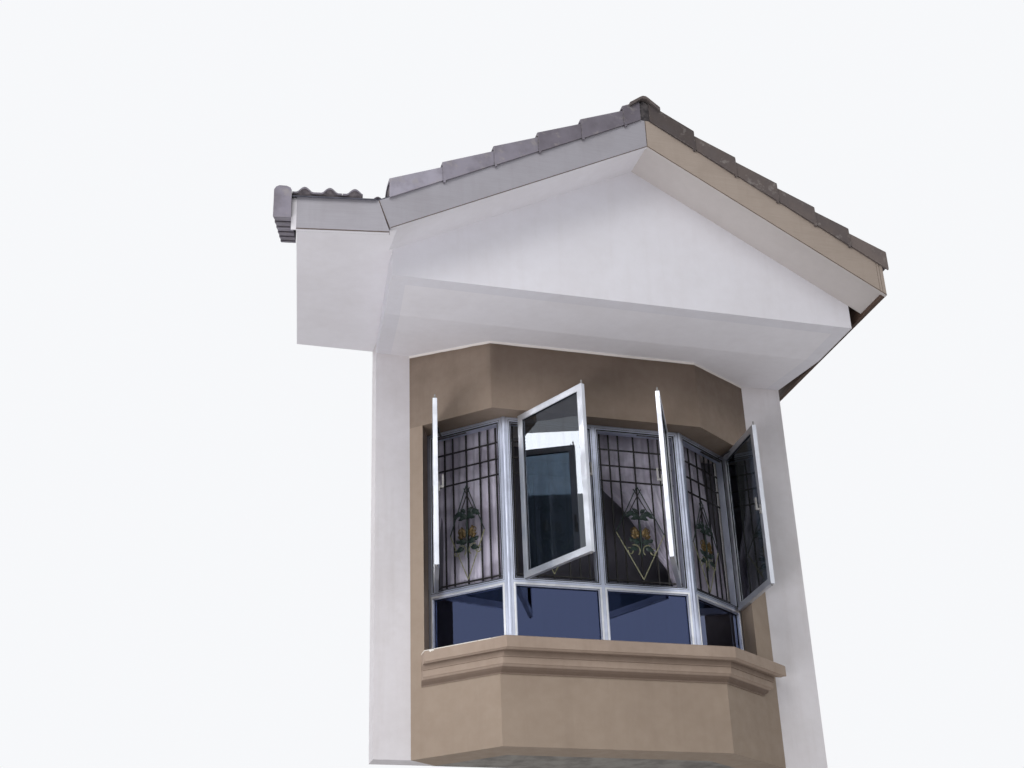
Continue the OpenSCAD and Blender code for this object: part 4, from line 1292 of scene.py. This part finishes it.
stage = {
    "floorZ": -3.85, "floorHalf": 60, "floor": (226, 224, 220), "floorDeep": (220, 218, 214),
    "bounce": (206, 204, 204), "floorGlow": 0.42, "sky": (0.93, 0.94, 0.96, 1),
    "light": (0.97, 0.985, 1.0, 1), "skyLight": 0.47, "room": (-1.135, 1.185), "roomY": 0.004,
    "roomZ": (-0.06, 2.42), "roomShadeTone": (112, 110, 120), "roomLeak": 0.35,
}


def paleRays(tree):
    # rays that see the pale studio: from the camera, in a reflection or through glass
    camera, glossy, clear = (addNode(tree, "ShaderNodeLightPath").outputs["Is " + kind + " Ray"]
                             for kind in ("Camera", "Glossy", "Transmission"))
    return mathNode(tree, "MAXIMUM", camera, mathNode(tree, "MAXIMUM", glossy, clear))


def stagePiece(name, skin, *corners):
    mesh = bpy.data.meshes.new(name)
    mesh.from_pydata(corners, [], [(0, 1, 2, 3)])
    mesh.materials.append(skins[skin])
    return addObject(name, mesh)


def makeFloor():
    # the floor looks pale and throws back less light than it seems to
    tree, shader = newMaterial("studioFloor", Roughness=0.8)
    seen = mix(tree, noise(tree, objectPlace(tree), 0.8, 3.0), stage["floor"], stage["floorDeep"])
    dress(tree, shader, mix(tree, paleRays(tree), stage["bounce"], seen))
    straight = addNode(tree, "ShaderNodeLightPath").outputs["Is Camera Ray"]
    tree.links.new(seen, shader.inputs["Emission Color"])
    tree.links.new(times(tree, straight, stage["floorGlow"]), shader.inputs["Emission Strength"])
    half, z = stage["floorHalf"], stage["floorZ"]
    corners = [(-half, -half, z), (half, -half, z), (half, half, z), (-half, half, z)]
    stagePiece("floor", "studioFloor", *corners)


def makeRoomCard():
    # a dark card stands in for the unlit room behind the bay, a painted shade; from the room's side this
    # card isn't seen, and it lets some light in
    tree, shader = newMaterial("darkRoom", Base_Color=colour(stage["roomShadeTone"]), Roughness=1.0)
    behind = addNode(tree, "ShaderNodeNewGeometry").outputs["Backfacing"]
    path = addNode(tree, "ShaderNodeLightPath").outputs
    unseen = mathNode(tree, "MAXIMUM", times(tree, behind, path["Is Camera Ray"]),
                      times(tree, path["Is Shadow Ray"], stage["roomLeak"]))
    clear = addNode(tree, "ShaderNodeBsdfTransparent").outputs[0]
    card = addNode(tree, "ShaderNodeMixShader", {0: unseen, 1: shader.outputs[0], 2: clear})
    tree.links.new(card.outputs[0], tree.nodes["Material Output"].inputs["Surface"])
    (x0, x1), y, (z0, z1) = stage["room"], stage["roomY"], stage["roomZ"]
    stagePiece("darkRoom", "darkRoom", (x0, y, z0), (x1, y, z0), (x1, y, z1), (x0, y, z1))


def makeWorld():
    world = bpy.data.worlds.new("studio")
    bpy.context.scene.world = world
    world.use_nodes = True
    tree = world.node_tree
    tree.nodes.clear()
    light, pale = (addNode(tree, "ShaderNodeBackground", {"Color": tone, "Strength": strength}).outputs[0]
                   for tone, strength in ((stage["light"], stage["skyLight"]), (stage["sky"], 1.0)))
    both = addNode(tree, "ShaderNodeMixShader", {0: paleRays(tree), 1: light, 2: pale})
    addNode(tree, "ShaderNodeOutputWorld", {"Surface": both.outputs[0]})


lamps = {
    "key": {"place": (-6.5, -8.5, 8.0), "aim": (0, -1, 2), "size": (6, 6), "power": 450,
            "colour": (1.0, 0.99, 0.975)},
    # soft light from below, under the hood
    "low": {"place": (-6.2, -5.7, -2.9), "aim": (-0.5, -1, 3.0), "size": (6, 1.8), "power": 97,
            "colour": (0.97, 0.965, 1.0), "spread": 90},
    "fill": {"place": (9.0, -7.5, 1.0), "aim": (0, -1, 2.4), "size": (6, 6), "power": 50,
             "colour": (0.96, 0.98, 1.0)},
    # stands left of the wall, where the open front sash mirrors it
    "side": {"place": (-8.2, 2.2, 5.5), "aim": (-0.4, -0.9, 5.5), "size": (6.5, 0.9), "power": 130,
             "colour": (1.0, 1.0, 1.0)},
}


def makeLamp(name, lamp):
    made = addObject(name, bpy.data.lights.new(name, "AREA"))
    made.data.shape = "RECTANGLE"
    made.data.size, made.data.size_y = lamp["size"]
    made.data.energy = lamp["power"]
    made.data.color = lamp["colour"]
    made.data.spread = math.radians(lamp.get("spread", 180))
    made.location = lamp["place"]
    made.rotation_euler = (Vector(lamp["aim"]) - Vector(lamp["place"])).to_track_quat("-Z", "Y").to_euler()
    made.visible_camera = False


makeFloor()
makeRoomCard()
makeWorld()
for name, lamp in lamps.items():
    makeLamp(name, lamp)
bpy.context.scene.view_settings.view_transform = "Standard"
print("stage set")
